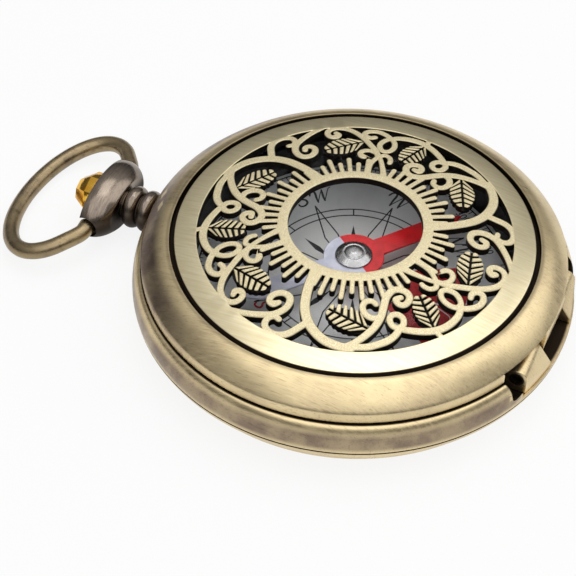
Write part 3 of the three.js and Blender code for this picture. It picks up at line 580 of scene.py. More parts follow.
openwork_bronze, tree, shader, place = new_material("openwork bronze")
sand = use_group(tree, grit, Vector=place, Scale=9000.0)
brush = use_group(tree, brush_marks, Vector=place, Stretch=BRUSH_STRETCH)
away = radius_of(tree, place)
border = fade(tree, away, BORDER_R - 0.1, BORDER_R + 0.15)
sanded = ramp(tree, sand["Grains"], 0.35, 0.68)
texture = blend_colours(tree, border, sanded, ramp(tree, brush["Streaks"], 0.3, 0.7, 0.3, 0.75))
colour = blend_colours(tree, texture, OPENWORK_GOLD, OPENWORK_CREAM)
# Painted shade and blackening on every wall below the domed top; the outer wall gets a greyer painted
# shade.
wall_shade = fade(tree, depth_below_dome(tree, place), 0.03, 0.13)
outer_wall = fade(tree, away, GRILLE_R - 0.23, GRILLE_R - 0.03)
colour = blend_colours(tree, wall_shade, colour, blend_colours(tree, outer_wall, WALL_SHADE_BLACK, WALL_SHADE_GREY))
roughness = ramp(tree, border, 0, 1, 0.46, 0.3)
roughness = math_node(tree, "MAXIMUM", roughness, math_node(tree, "MULTIPLY", wall_shade, 0.62))
metal = ramp(tree, border, 0, 1, 0.6, 1.0)
feed(tree, shader, Base_Color=colour, Roughness=roughness, Metallic=metal)
bump(tree, shader, texture, 0.3, 0.03)
print("openwork finish:", openwork_bronze.name)

# %% [markdown]
# ### Gold, steel and black moulding
# The button is polished, the hub and the pivot are turned steel, and the capsule is moulded plastic.
# Polish still has faint dents, steel faint stains and plastic a fine grain: without them each would
# look like a flat colour, so each gets one mask that moves its colour and its roughness together.

# %% Polished gold, steel, black moulding
polished_gold, tree, shader, place = new_material("polished gold", Metallic=1.0)
dents = noise(tree, place, 900.0, 2.0)
colour = blend_colours(tree, ramp(tree, dents, 0.4, 0.7), srgb(238, 186, 74), srgb(214, 150, 44))
feed(tree, shader, Base_Color=colour, Roughness=ramp(tree, dents, 0.3, 0.7, 0.08, 0.2))
bump(tree, shader, dents, 0.25, 0.1)

steel, tree, shader, place = new_material("steel", Metallic=1.0)
turning = use_group(tree, tarnish, Vector=place, Scale=420.0)["Patches"]
colour = blend_colours(tree, turning, srgb(188, 186, 186), srgb(164, 161, 161))
feed(tree, shader, Base_Color=colour, Roughness=ramp(tree, turning, 0, 1, 0.2, 0.34))

black_plastic, tree, shader, place = new_material("black plastic")
moulded = use_group(tree, grit, Vector=place, Scale=5200.0)["Grains"]
colour = blend_colours(tree, moulded, srgb(14, 14, 15), srgb(34, 33, 34))
feed(tree, shader, Base_Color=colour, Roughness=ramp(tree, moulded, 0.3, 0.7, 0.38, 0.55))
bump(tree, shader, moulded, 0.2, 0.02)
print("small finishes:", [m.name for m in (polished_gold, steel, black_plastic)])

# %% [markdown]
# ### Card, inks, paint, ruby and glass
# The dial is silvered card, with a painted pool of light in the middle, as if a lamp stood over it. Its
# inks are printed a little unevenly. The needle is painted red and white on one sheet, split across its
# middle.
# The pane is glass that lets lamp light through to the dial, which saves the render from caustics.

# %% Dial silver, inks, needle paint, ruby and glass
dial_silver, tree, shader, place = new_material("dial silver", Metallic=0.1)
sheen = use_group(tree, brush_marks, Vector=place, Stretch=(1400, 1400, 900))
fibre = use_group(tree, grit, Vector=place, Scale=12000.0)["Grains"]
colour = blend_colours(tree, sheen["Streaks"], srgb(196, 195, 195), srgb(216, 215, 214))
colour = blend_colours(tree, math_node(tree, "MULTIPLY", fibre, 0.3), colour, srgb(232, 231, 230))
# Painted light: the card is lighter towards its middle, as under a lamp.
painted_light_pool = fade(tree, radius_of(tree, place), 12, 3, 0.0, 0.85)
colour = blend_colours(tree, painted_light_pool, colour, srgb(246, 242, 238))
feed(tree, shader, Base_Color=colour, Roughness=ramp(tree, fibre, 0.3, 0.7, 0.36, 0.5))


def ink(name, fresh, faded):
    """Printing ink with uneven cover."""
    material, tree, shader, place = new_material(name)
    spots = use_group(tree, tarnish, Vector=place, Scale=2600.0)["Patches"]
    colour = blend_colours(tree, spots, fresh, faded)
    feed(tree, shader, Base_Color=colour, Roughness=ramp(tree, spots, 0, 1, 0.42, 0.58))
    return material


black_ink = ink("black ink", srgb(16, 16, 18), srgb(34, 34, 36))
red_ink = ink("red ink", srgb(200, 24, 32), srgb(172, 16, 24))
white_ink = ink("white ink", srgb(232, 232, 232), srgb(208, 208, 212))

needle_paint, tree, shader, place = new_material("needle paint", Coat_Weight=0.25)
along = node(
    tree,
    "ShaderNodeMapping",
    {"Vector": place, "Rotation": (0, 0, math.radians(-NEEDLE_BEARING_DEG))},
).outputs[0]
side = split(tree, along)["X"]
wear = use_group(tree, tarnish, Vector=place, Scale=700.0)["Patches"]
red = blend_colours(tree, wear, srgb(234, 30, 36), srgb(208, 20, 28))
white = blend_colours(tree, wear, srgb(226, 224, 238), srgb(204, 202, 220))
colour = blend_colours(tree, fade(tree, side, -0.04, 0.04), white, red)
feed(tree, shader, Base_Color=colour, Roughness=ramp(tree, wear, 0, 1, 0.32, 0.46))

ruby, tree, shader, place = new_material("ruby", Transmission_Weight=0.4, IOR=1.76)
cloud = use_group(tree, tarnish, Vector=place, Scale=3000.0)["Patches"]
colour = blend_colours(tree, cloud, srgb(150, 16, 44), srgb(190, 30, 62))
feed(tree, shader, Base_Color=colour, Roughness=ramp(tree, cloud, 0, 1, 0.08, 0.16))

clear_glass, tree, shader, place = new_material(
    "clear glass", Transmission_Weight=1.0, IOR=1.2, Base_Color=(0.97, 0.98, 0.98, 1)
)
smears = use_group(tree, tarnish, Vector=place, Scale=120.0)["Patches"]
feed(tree, shader, Roughness=ramp(tree, smears, 0, 1, 0.0, 0.012))
end = next(n for n in tree.nodes if n.type == "OUTPUT_MATERIAL")
let_light_by = node(tree, "ShaderNodeBsdfTransparent", {"Color": (0.95, 0.96, 0.96, 1)})
path = node(tree, "ShaderNodeLightPath").outputs
lights_only = math_node(tree, "MAXIMUM", path["Is Shadow Ray"], path["Is Diffuse Ray"])
pane = node(
    tree, "ShaderNodeMixShader", {0: lights_only, 1: shader.outputs[0], 2: let_light_by.outputs[0]}
)
tree.links.new(pane.outputs[0], end.inputs["Surface"])
finishes = (dial_silver, black_ink, red_ink, white_ink, needle_paint, ruby, clear_glass)
print("card, inks, paint and clear finishes:", [m.name for m in finishes])

# %% [markdown]
# ## The back cover
# The back is a shallow dish with a flat underside and a low rim that snaps into the middle case. It
# could be pressed from sheet, but it is turned here like the rest: one profile, closed on the axis.

# %% Back cover
BACK_R, BACK_TOP_Z, BACK_ROUNDING = 22.0, 2.15, 2.0
SNAP_R, SNAP_INNER_R, SNAP_TOP_Z = 20.6, 20.0, 2.8
BACK_THICKNESS = 0.8
back_cover = turned(
    "back_cover_shell",
    [
        (0, 0),
        (BACK_R, 0, BACK_ROUNDING),
        (BACK_R, BACK_TOP_Z, 0.16),
        (SNAP_R, BACK_TOP_Z),
        (SNAP_R, SNAP_TOP_Z, 0.1),
        (SNAP_INNER_R, SNAP_TOP_Z, 0.1),
        (SNAP_INNER_R, BACK_THICKNESS),
        (0, BACK_THICKNESS),
    ],
)
dress(back_cover, "case", case_bronze, "case_bronze", "back_cover")

# %% [markdown]
# ## The middle case
# The middle case is a bulged ring with one fine line turned into its flank. After turning it is
# milled: a trough and a pocket for the hinge, slots for the two springs, and the bore for the stem.
# Turning first and cutting second is the order of the workshop, and keeps the long curves clean.

# %% Middle case
LIP_TOP_Z, ABOVE_LIP_Z = 7.4, 7.5
LIP_R, LIP_INNER_R, SHELF_R, BACK_BORE_R = 21.2, 20.7, 18.4, 20.75
FOOT_R = 22.8
TROUGH_R = 1.4
POCKET_HALF = 8.4
HOOK_HALF, FINGER_HALF = 1.4, 1.2
SPIGOT_BORE_R = 1.1
FAR = 30
FLANK_STEPS, CREST_STEPS, SHOULDER_STEPS = 9, 5, 14


def on_flank(z, sunk=0.0):
    """A point of the flank, an ellipse from the foot up to the widest place."""
    drop = (WIDEST_Z - z) / (WIDEST_Z - SEAM_Z)
    return (FOOT_R + (CASE_R - FOOT_R) * math.sqrt(1 - drop**2) - sunk, z)


line_foot, line_head = LINE_Z - LINE_WIDTH / 2, LINE_Z + LINE_WIDTH / 2
flank = []
for k in range(1, FLANK_STEPS + 1):
    flank.append(on_flank(SEAM_Z + (line_foot - SEAM_Z) * (k / FLANK_STEPS) ** 2))
flank.append(on_flank(LINE_Z, LINE_DEPTH))
for k in range(CREST_STEPS + 1):
    flank.append(on_flank(line_head + (WIDEST_Z - line_head) * k / CREST_STEPS))
shoulder = []
for k in range(1, SHOULDER_STEPS + 1):
    turn = math.pi / 2 * k / SHOULDER_STEPS
    shoulder.append(
        (
            SHOULDER_R + (CASE_R - SHOULDER_R) * math.cos(turn),
            WIDEST_Z + (MID_TOP_Z - WIDEST_Z) * math.sin(turn),
        )
    )
mid_case = turned(
    "middle_case_ring",
    [
        (BACK_BORE_R, SEAM_Z),
        (FOOT_R, SEAM_Z),
        *flank,
        *shoulder,
        (LIP_R, MID_TOP_Z),
        (LIP_R, LIP_TOP_Z, 0.12),
        (LIP_INNER_R, LIP_TOP_Z, 0.12),
        (LIP_INNER_R, MID_TOP_Z, 0.1),
        (SHELF_R, MID_TOP_Z, 0.15),
        (SHELF_R, SHELF_Z),
        (BACK_BORE_R, SHELF_Z),
    ],
)
trough = turned(
    "trough",
    [(0, -TROUGH_HALF), (TROUGH_R, -TROUGH_HALF, 0.9), (TROUGH_R, TROUGH_HALF, 0.9), (0, TROUGH_HALF)],
    "X",
    (0, HINGE_Y, HINGE_Z),
    BORE_STEPS,
)


def cross_bore(name, radius, low, high, axis="Y", centre=(0, 0, PENDANT_Z)):
    """A round cutter along an axis through the pendant's height."""
    return turned(name, [(0, low), (radius, low), (radius, high), (0, high)], axis, centre, BORE_STEPS)


cut_out(
    mid_case,
    trough,
    box("hinge_pocket", (-POCKET_HALF, -FAR, POCKET_FLOOR_Z), (POCKET_HALF, POCKET_Y, ABOVE_LIP_Z)),
    box("hinge_clearance", (-TROUGH_HALF, -FAR, HINGE_Z), (TROUGH_HALF, POCKET_Y, ABOVE_LIP_Z)),
    box("hook_slot", (-HOOK_HALF, 16, SEAM_Z - 0.1), (HOOK_HALF, 20.05, ABOVE_LIP_Z)),
    box("hook_path", (-HOOK_HALF, 19.85, MID_TOP_Z), (HOOK_HALF, 21.45, ABOVE_LIP_Z)),
    box("finger_slot", (-FINGER_HALF, -20.05, SEAM_Z - 0.1), (FINGER_HALF, -16, ABOVE_LIP_Z)),
    cross_bore("stem_bore", STEM_BORE_R, 18.2, FAR - 3),
    cross_bore("spigot_bore", SPIGOT_BORE_R, 21.85, FAR - 3),
)
dress(mid_case, "case", case_bronze, "case_bronze", "mid_case")

# %% [markdown]
# ## The capsule
# The compass works sit in a black moulded cup, under a clear pane that a thin ring holds. The cup is
# seen through the openwork as the dark wall beyond the dial, so it is turned with its true depth.

# %% Capsule cup, pane and ring
CUP_R, CUP_INNER_R, FLANGE_R = 18.2, 17.2, 19.8
CUP_BOTTOM_Z, CUP_FLOOR_Z, CUP_TOP_Z = 1.0, 3.5, 7.8
FLANGE_LOW_Z, FLANGE_HIGH_Z = 3.95, 4.55
PIVOT_BORE_R, PIVOT_SEAT_Z = 0.63, 1.6
PANE_R, PANE_LOW_Z, PANE_HIGH_Z = 17.7, 7.85, 8.55
RETAINER_R = 17.8
capsule_cup = turned(
    "capsule_moulding",
    [
        (0, CUP_BOTTOM_Z),
        (CUP_R, CUP_BOTTOM_Z, 0.3),
        (CUP_R, FLANGE_LOW_Z),
        (FLANGE_R, FLANGE_LOW_Z, 0.1),
        (FLANGE_R, FLANGE_HIGH_Z, 0.1),
        (CUP_R, FLANGE_HIGH_Z),
        (CUP_R, CUP_TOP_Z, 0.1),
        (CUP_INNER_R, CUP_TOP_Z, 0.1),
        (CUP_INNER_R, CUP_FLOOR_Z),
        (PIVOT_BORE_R, CUP_FLOOR_Z),
        (PIVOT_BORE_R, PIVOT_SEAT_Z),
        (0, PIVOT_SEAT_Z),
    ],
)
cut_out(
    capsule_cup,
    box("hook_notch", (-HOOK_HALF, 18.5, 0.9), (HOOK_HALF, 21, SHELF_Z)),
    box("finger_notch", (-FINGER_HALF, -21, 0.9), (FINGER_HALF, -19.3, SHELF_Z)),
)
dress(capsule_cup, "case", black_plastic, "black_plastic", "capsule_cup")
crystal = turned(
    "crystal_pane",
    [(0, PANE_LOW_Z), (PANE_R, PANE_LOW_Z, 0.1), (PANE_R, PANE_HIGH_Z, 0.2), (0, PANE_HIGH_Z)],
)
dress(crystal, "case", clear_glass, "crystal", "crystal")
crystal_ring = turned(
    "crystal_retainer",
    [
        (RETAINER_R, PANE_LOW_Z),
        (CUP_R, PANE_LOW_Z, 0.06),
        (CUP_R, PANE_HIGH_Z, 0.12),
        (RETAINER_R, PANE_HIGH_Z, 0.12),
    ],
)
dress(crystal_ring, "case", black_plastic, "black_plastic", "crystal_ring")

# %% [markdown]
# ## Flat shapes with a smooth outline
# Letters, vines and leaves are all cut from an outline. A smooth line is laid through a few listed
# points, and a stroke of changing width follows it, as with a pen. The outline becomes the
# rim of a filled circle primitive, which is extruded and inset to give a plate with a soft top edge.

# %% Pen strokes and plates
def polar(radius, degrees):
    """A point of the plane at a radius and an angle."""
    turn = math.radians(degrees)
    return Vector((radius * math.cos(turn), radius * math.sin(turn)))


def smooth(points, closed=False, per=6):
    """A smooth line through the points, with a few steps between neighbours."""
    points = [Vector(p) for p in points]
    count = len(points)
    line = []
    spans = count if closed else count - 1
    for i in range(spans):
        if closed:
            a, b, c, d = (points[(i + k) % count] for k in (-1, 0, 1, 2))
        else:
            b, c = points[i], points[i + 1]
            a = points[i - 1] if i else b * 2 - c
            d = points[i + 2] if i + 2 < count else c * 2 - b
        for step in range(per):
            t = step / per
            line.append(
                (
                    b * 2
                    + (c - a) * t
                    + (a * 2 - b * 5 + c * 4 - d) * t**2
                    + (b * 3 - a - c * 3 + d) * t**3
                )
                / 2
            )
    if not closed:
        line.append(points[-1])
    return line


END_STEPS = 6


def stroke(line, widths):
    """The outline of a pen stroke along a line; widths are at its start, middle and end."""
    lengths = [0.0]
    for a, b in zip(line, line[1:]):
        lengths.append(lengths[-1] + (b - a).length)
    left, right = [], []
    for i, point in enumerate(line):
        ahead = (line[min(i + 1, len(line) - 1)] - line[max(i - 1, 0)]).normalized()
        across = Vector((-ahead.y, ahead.x))
        u = lengths[i] / lengths[-1]
        first, middle, last = widths
        width = first * (1 - u) * (1 - 2 * u) + middle * 4 * u * (1 - u) + last * u * (2 * u - 1)
        left.append(point + across * width / 2)
        right.append(point - across * width / 2)

    def cap(from_side, to_side):
        middle = (from_side + to_side) / 2
        arm = from_side - middle
        turns = [math.pi * k / END_STEPS for k in range(1, END_STEPS)]
        return [
            middle
            + Vector(
                (
                    arm.x * math.cos(t) - arm.y * math.sin(t),
                    arm.x * math.sin(t) + arm.y * math.cos(t),
                )
            )
            for t in turns
        ]

    return right + cap(right[-1], left[-1]) + left[::-1] + cap(left[0], right[0])


def slab(name, outline, bottom, top, soft=0.0):
    """A plate cut to an outline in millimetres; soft is the width of its top chamfer."""
    turns = sum(a[0] * b[1] - b[0] * a[1] for a, b in zip(outline, [*outline[1:], outline[0]]))
    if turns < 0:
        outline = outline[::-1]
    only()
    bpy.ops.mesh.primitive_circle_add(vertices=len(outline), radius=MM, fill_type="NGON")
    plate = bpy.context.object
    plate.name = plate.data.name = name
    for vertex, point in zip(plate.data.vertices, outline):
        vertex.co = (point[0] * MM, point[1] * MM, bottom * MM)
    bpy.ops.object.mode_set(mode="EDIT")
    bpy.ops.mesh.select_all(action="SELECT")
    bpy.ops.mesh.extrude_region_move(
        TRANSFORM_OT_translate={"value": (0, 0, (top - bottom - soft) * MM)}
    )
    if soft:
        bpy.ops.mesh.inset(thickness=soft * MM, depth=soft * MM, use_even_offset=True)
    bpy.ops.mesh.select_all(action="SELECT")
    bpy.ops.mesh.normals_make_consistent(inside=False)
    bpy.ops.object.mode_set(mode="OBJECT")
    return plate


def joined(name, pieces):
    """Several meshes as one object."""
    only(*pieces)
    bpy.ops.object.join()
    pieces[0].name = pieces[0].data.name = name
    return pieces[0]


print("pen and plate helpers ready")

# %% [markdown]
# ## The dial
# The dial is a silver card with a hole for the pivot, and it lies on the floor of the cup. A stamped
# disc is all it is, so four corners of a profile make it.

# %% Dial card
DIAL_R, DIAL_BOTTOM, DIAL_TOP = 17.0, 3.55, 3.9
dial_card = turned(
    "dial_plate",
    [
        (PIVOT_BORE_R, DIAL_BOTTOM),
        (DIAL_R, DIAL_BOTTOM, 0.05),
        (DIAL_R, DIAL_TOP, 0.08),
        (PIVOT_BORE_R, DIAL_TOP),
    ],
)
dress(dial_card, "case", dial_silver, "dial", "dial_card")

# %% [markdown]
# ### The printed rose
# The card is printed with two rings, a star of eight double lines, darts between its points, and a
# scale at the edge. Print could be painted by a shader, but thin plates of ink are sharper and travel
# with the model. Loops place each mark by its radius and its bearing.

# %% Rings, ticks and rose
INK_HEIGHT = 0.012
HAIRLINE = 0.15
OUTER_RING_R, INNER_RING_R = 9.9, 8.95
SCALE_R, SCALE_WIDTH = 16.5, 0.16
TICK_OUTER_R, LONG_TICK_R, SHORT_TICK_R, TICK_HALF = 16.45, 15.85, 16.1, 0.05
STAR_TIP, STAR_WIDE, STAR_ROOT = 11.05, 6.2, 2.2
STAR_HALF_DEG, STAR_ROOT_DEG = 7.0, 4
DART_TIP, DART_WIDE, DART_ROOT, DART_HALF_DEG = 7.4, 5.4, 3.2, 3.4
WINDS = 8


def printed(name, outline):
    """A plate of ink on the card."""
    return slab(name, outline, DIAL_TOP, DIAL_TOP + INK_HEIGHT)


def printed_line(*points):
    return printed("line", stroke(list(points), (HAIRLINE,) * 3))


def printed_ring(radius, width):
    low, high = DIAL_TOP, DIAL_TOP + INK_HEIGHT
    inner, outer = radius - width / 2, radius + width / 2
    return turned("ring", [(inner, low), (outer, low), (outer, high), (inner, high)])


print_marks = [printed_ring(r, HAIRLINE) for r in (OUTER_RING_R, INNER_RING_R)]
print_marks.append(printed_ring(SCALE_R, SCALE_WIDTH))
for bearing in range(0, 360, 2):
    a = polar(LONG_TICK_R if bearing % 10 == 0 else SHORT_TICK_R, bearing)
    b = polar(TICK_OUTER_R, bearing)
    across = polar(TICK_HALF, bearing + 90)
    print_marks.append(printed("tick", [a - across, b - across, b + across, a + across]))
for wind in range(WINDS):
    bearing = wind * 360 / WINDS
    for side in (-1, 1):
        wide = polar(STAR_WIDE, bearing + side * STAR_HALF_DEG)
        root = polar(STAR_ROOT, bearing + side * STAR_ROOT_DEG)
        print_marks.append(printed_line(polar(STAR_TIP, bearing), wide, root))
    half_wind = bearing + 180 / WINDS
    print_marks.append(printed_line(polar(INNER_RING_R, half_wind), polar(OUTER_RING_R, half_wind)))
    dart = [
        polar(DART_TIP, half_wind),
        polar(DART_WIDE, half_wind + DART_HALF_DEG),
        polar(DART_ROOT, half_wind),
        polar(DART_WIDE, half_wind - DART_HALF_DEG),
    ]
    print_marks.append(printed("dart", dart))
print("rose marks:", len(print_marks))

# %% [markdown]
# ### Letters and numbers
# The winds are lettered in a script with thick and thin strokes, which no plain font has, so each
# letter is a few pen strokes through points in a unit square. The small degree numbers are plain
# text, made into a mesh before it is moved to its place.

# %% Letters and numbers
THICK, THIN = 0.26, 0.12
GLYPHS = {
    "N": [
        (THIN, [(-0.05, 0.06), (0.08, 0.0), (0.14, 0.4), (0.2, 0.98)]),
        (THICK, [(0.2, 0.98), (0.38, 0.5), (0.62, 0.02)]),
        (THIN, [(0.62, 0.02), (0.7, 0.6), (0.78, 0.96), (0.92, 1.04)]),
    ],
    "E": [
        (THICK, [(0.66, 0.84), (0.52, 1.0), (0.26, 0.98), (0.16, 0.76), (0.4, 0.55)]),
        (THICK, [(0.4, 0.55), (0.08, 0.44), (0.02, 0.16), (0.26, 0.0), (0.6, 0.14)]),
    ],
    "S": [
        (THICK, [
            (0.64, 0.84), (0.5, 1.0), (0.26, 0.98), (0.12, 0.8), (0.24, 0.6),
            (0.48, 0.44), (0.56, 0.2), (0.38, 0.0), (0.12, 0.02), (0.0, 0.2),
        ]),
    ],
    "W": [
        (THICK, [(-0.16, 0.7), (-0.1, 0.92), (0.06, 1.0), (0.2, 0.84), (0.24, 0.4), (0.3, 0.0)]),
        (THIN, [(0.3, 0.0), (0.46, 0.5), (0.64, 0.96)]),
        (THICK, [(0.64, 0.96), (0.68, 0.4), (0.74, 0.0)]),
        (THIN, [(0.74, 0.0), (0.92, 0.5), (1.08, 0.92), (1.24, 1.02)]),
    ],
}
LETTER_SLANT = 0.22
PEN_LIFT = 0.7


def letter(glyph, radius, degrees, height, shift=0.0, top=DIAL_TOP + INK_HEIGHT):
    """A letter with its foot towards the middle, at a radius and a bearing on the card."""
    up = polar(1, degrees)
    along = polar(1, degrees - 90)
    foot = up * (radius - height / 2)
    strokes = []
    for width, points in GLYPHS[glyph]:
        line = [
            foot + along * ((x + LETTER_SLANT * y - 0.5) * height + shift) + up * (y * height)
            for x, y in points
        ]
        pen = stroke(smooth(line), (width * PEN_LIFT, width, width * PEN_LIFT))
        strokes.append(slab("stroke", pen, DIAL_TOP, top))
    return strokes


LETTER_R, LETTER_HEIGHT, PAIR_HEIGHT, PAIR_SHIFTS = 12.4, 2.1, 1.8, (-0.8, 0.9)
NUMBER_R, NUMBER_SIZE, NORTH_DEG = 15.1, 1.25, -90
for name, degrees in (("S", 90), ("W", 0), ("E", 180)):
    print_marks += letter(name, LETTER_R, degrees, LETTER_HEIGHT)
for name, degrees in (("SW", 45), ("NW", -45), ("NE", -135)):
    for glyph, shift in zip(name, PAIR_SHIFTS):
        print_marks += letter(glyph, LETTER_R, degrees, PAIR_HEIGHT, shift)
for bearing in range(0, 360, 20):
    only()
    bpy.ops.object.text_add(location=(0, 0, 0))
    number = bpy.context.object
    number.data.body = str(bearing)
    number.data.size = NUMBER_SIZE * MM
    number.data.align_x = "CENTER"
    number.data.align_y = "CENTER"
    number.data.extrude = INK_HEIGHT / 2 * MM
    bpy.ops.object.convert(target="MESH")
    number = bpy.context.object
    degrees = NORTH_DEG - bearing
    spot = polar(NUMBER_R, degrees)
    number.location = (spot.x * MM, spot.y * MM, (DIAL_TOP + INK_HEIGHT / 2) * MM)
    number.rotation_euler = (0, 0, math.radians(degrees - 90))
    bpy.ops.object.transform_apply(location=True, rotation=True, scale=True)
    print_marks.append(number)
dial_print = joined("dial_print_black", print_marks)
dress(dial_print, "case", black_ink, "dial")

# %% [markdown]
# ### Red and white print
# North has a red field with a white letter and a white edge line, and the south-east is lettered in
# red. Each colour is printed in a pass of its own, so each is one mesh, and the white lies on the red.

# %% Red and white print
RED_LETTER_R, RED_LETTER_HEIGHT = 10.4, 1.5
FIELD_OUTER_R, FIELD_INNER_R, FIELD_HALF_DEG = 12.7, 5.6, 30
EDGE_R, EDGE_HALF_DEG, EDGE_WIDTH = 12.4, 28, 0.12
NORTH_LETTER_R, NORTH_LETTER_HEIGHT = 10.2, 2.6
RED_TOP, WHITE_TOP = DIAL_TOP + INK_HEIGHT * 1.5, DIAL_TOP + INK_HEIGHT * 2.5
red_marks = letter("S", RED_LETTER_R, 138.5, RED_LETTER_HEIGHT)
red_marks += letter("E", RED_LETTER_R, 130, RED_LETTER_HEIGHT)
outward = range(-FIELD_HALF_DEG, FIELD_HALF_DEG + 1, 3)
inward = range(FIELD_HALF_DEG, -FIELD_HALF_DEG - 1, -6)
north_field = [polar(FIELD_OUTER_R, NORTH_DEG + t) for t in outward]
north_field += [polar(FIELD_INNER_R, NORTH_DEG + t) for t in inward]
red_marks.append(slab("north_field", north_field, DIAL_TOP, RED_TOP))
red_print = joined("dial_print_red", red_marks)
dress(red_print, "case", red_ink, "dial")
white_marks = letter("N", NORTH_LETTER_R, NORTH_DEG, NORTH_LETTER_HEIGHT, top=WHITE_TOP)
edge_line = [polar(EDGE_R, NORTH_DEG + t) for t in range(-EDGE_HALF_DEG, EDGE_HALF_DEG + 1, 4)]
white_marks.append(slab("north_edge", stroke(edge_line, (EDGE_WIDTH,) * 3), DIAL_TOP, WHITE_TOP))
white_print = joined("dial_print_white", white_marks)
dress(white_print, "case", white_ink, "dial")

# %% [markdown]
# ## The needle
# A thin stamped blade with a round middle carries a turned cap that rides on the pivot. The red end
# and the white end are one piece of sheet, so one mesh is made and the paint is split by the material.

# %% Blade and hub
NEEDLE_REACH, NEEDLE_HALF, NEEDLE_DISC_R, NEEDLE_TIP = 13.2, 1.15, 3.2, 1.9
BLADE_LOW_Z, BLADE_HIGH_Z, BLADE_SOFT = 6.55, 6.8, 0.05
HUB_HOLE_R, HUB_STEPS = 1.05, 96
DISC_STEPS = 24
root_deg = math.degrees(math.asin(NEEDLE_HALF / NEEDLE_DISC_R))
half_outline = [(NEEDLE_REACH, 0), (NEEDLE_REACH - NEEDLE_TIP, NEEDLE_HALF)]
for k in range(DISC_STEPS + 1):
    half_outline.append(tuple(polar(NEEDLE_DISC_R, root_deg + (180 - 2 * root_deg) * k / DISC_STEPS)))
half_outline.append((-(NEEDLE_REACH - NEEDLE_TIP), NEEDLE_HALF))
blade_outline = half_outline + [(-x, -y) for x, y in half_outline]
turn = math.radians(NEEDLE_BEARING_DEG)
blade_outline = [
    (x * math.cos(turn) - y * math.sin(turn), x * math.sin(turn) + y * math.cos(turn))
    for x, y in blade_outline
]
needle_blade = slab("needle_sheet", blade_outline, BLADE_LOW_Z, BLADE_HIGH_Z, BLADE_SOFT)
hole = [(0, 6.2), (HUB_HOLE_R, 6.2), (HUB_HOLE_R, 7.2), (0, 7.2)]
cut_out(needle_blade, turned("hub_hole", hole, steps=BORE_STEPS))
dress(needle_blade, "needle", needle_paint, "needle_paint", "needle_blade")
needle_hub = turned(
    "needle_cap",
    [
        (0.7, 6.45),
        (0.95, 6.45),
        (0.95, 6.85),
        (2.0, 6.85, 0.06),
        (1.96, 6.99, 0.08),
        (1.2, 7.37, 0.08),
        (1.02, 7.33, 0.06),
        (0.9, 7.45, 0.14),
        (0.5, 7.64, 0.2),
        (0, 7.65),
        (0, 7.2),
        (0.7, 7.2),
    ],
    steps=HUB_STEPS,
)
dress(needle_hub, "needle", steel, "steel", "needle_hub")

# %% [markdown]
# ## The lid's rim
# The rim is a convex ring, steep at the outside and almost flat at the groove. Its profile is a power
# curve, which gives that flattening with one number. The hinge notch is milled from below.

# %% Lid rim
LID_FOOT_Z, BAND_TOP_Z = 6.8, 8.0
NOTCH_Y, NOTCH_TOP_Z = -18.65, 8.1
LEDGE_R, LEDGE_LOW_Z, LEDGE_HIGH_Z = 17.85, 8.75, 9.15
LID_INNER_R, COVE_R = 21.45, 20.8
RIM_WIDTH, RIM_ROUNDNESS, RIM_STEPS = 3.1, 1.7, 22
LID_R = GROOVE_R + RIM_WIDTH
rim_curve = []
for i in range(RIM_STEPS):
    u = 1 - i / RIM_STEPS
    rim_curve.append(
        (GROOVE_R + RIM_WIDTH * u, BAND_TOP_Z + (RIM_TOP_Z - BAND_TOP_Z) * (1 - u**RIM_ROUNDNESS))
    )
lid_bezel = turned(
    "lid_rim",
    [
        (LID_INNER_R, LID_FOOT_Z, 0.06),
        (LID_R, LID_FOOT_Z, 0.14),
        (LID_R, BAND_TOP_Z - 0.14),
        (LID_R - 0.03, BAND_TOP_Z),
        *rim_curve[1:],
        (GROOVE_R, RIM_TOP_Z, 0.1),
        (GROOVE_R, LEDGE_HIGH_Z),
        (LEDGE_R, LEDGE_HIGH_Z, 0.06),
        (LEDGE_R, LEDGE_LOW_Z, 0.06),
        (COVE_R, LEDGE_LOW_Z),
        (LID_INNER_R, NOTCH_TOP_Z),
    ],
    steps=FINE_STEPS,
)
cut_out(lid_bezel, box("hinge_notch", (-TROUGH_HALF, -FAR, 0), (TROUGH_HALF, NOTCH_Y, NOTCH_TOP_Z)))
dress(lid_bezel, "lid", lid_bronze, "case_bronze", "lid_bezel")
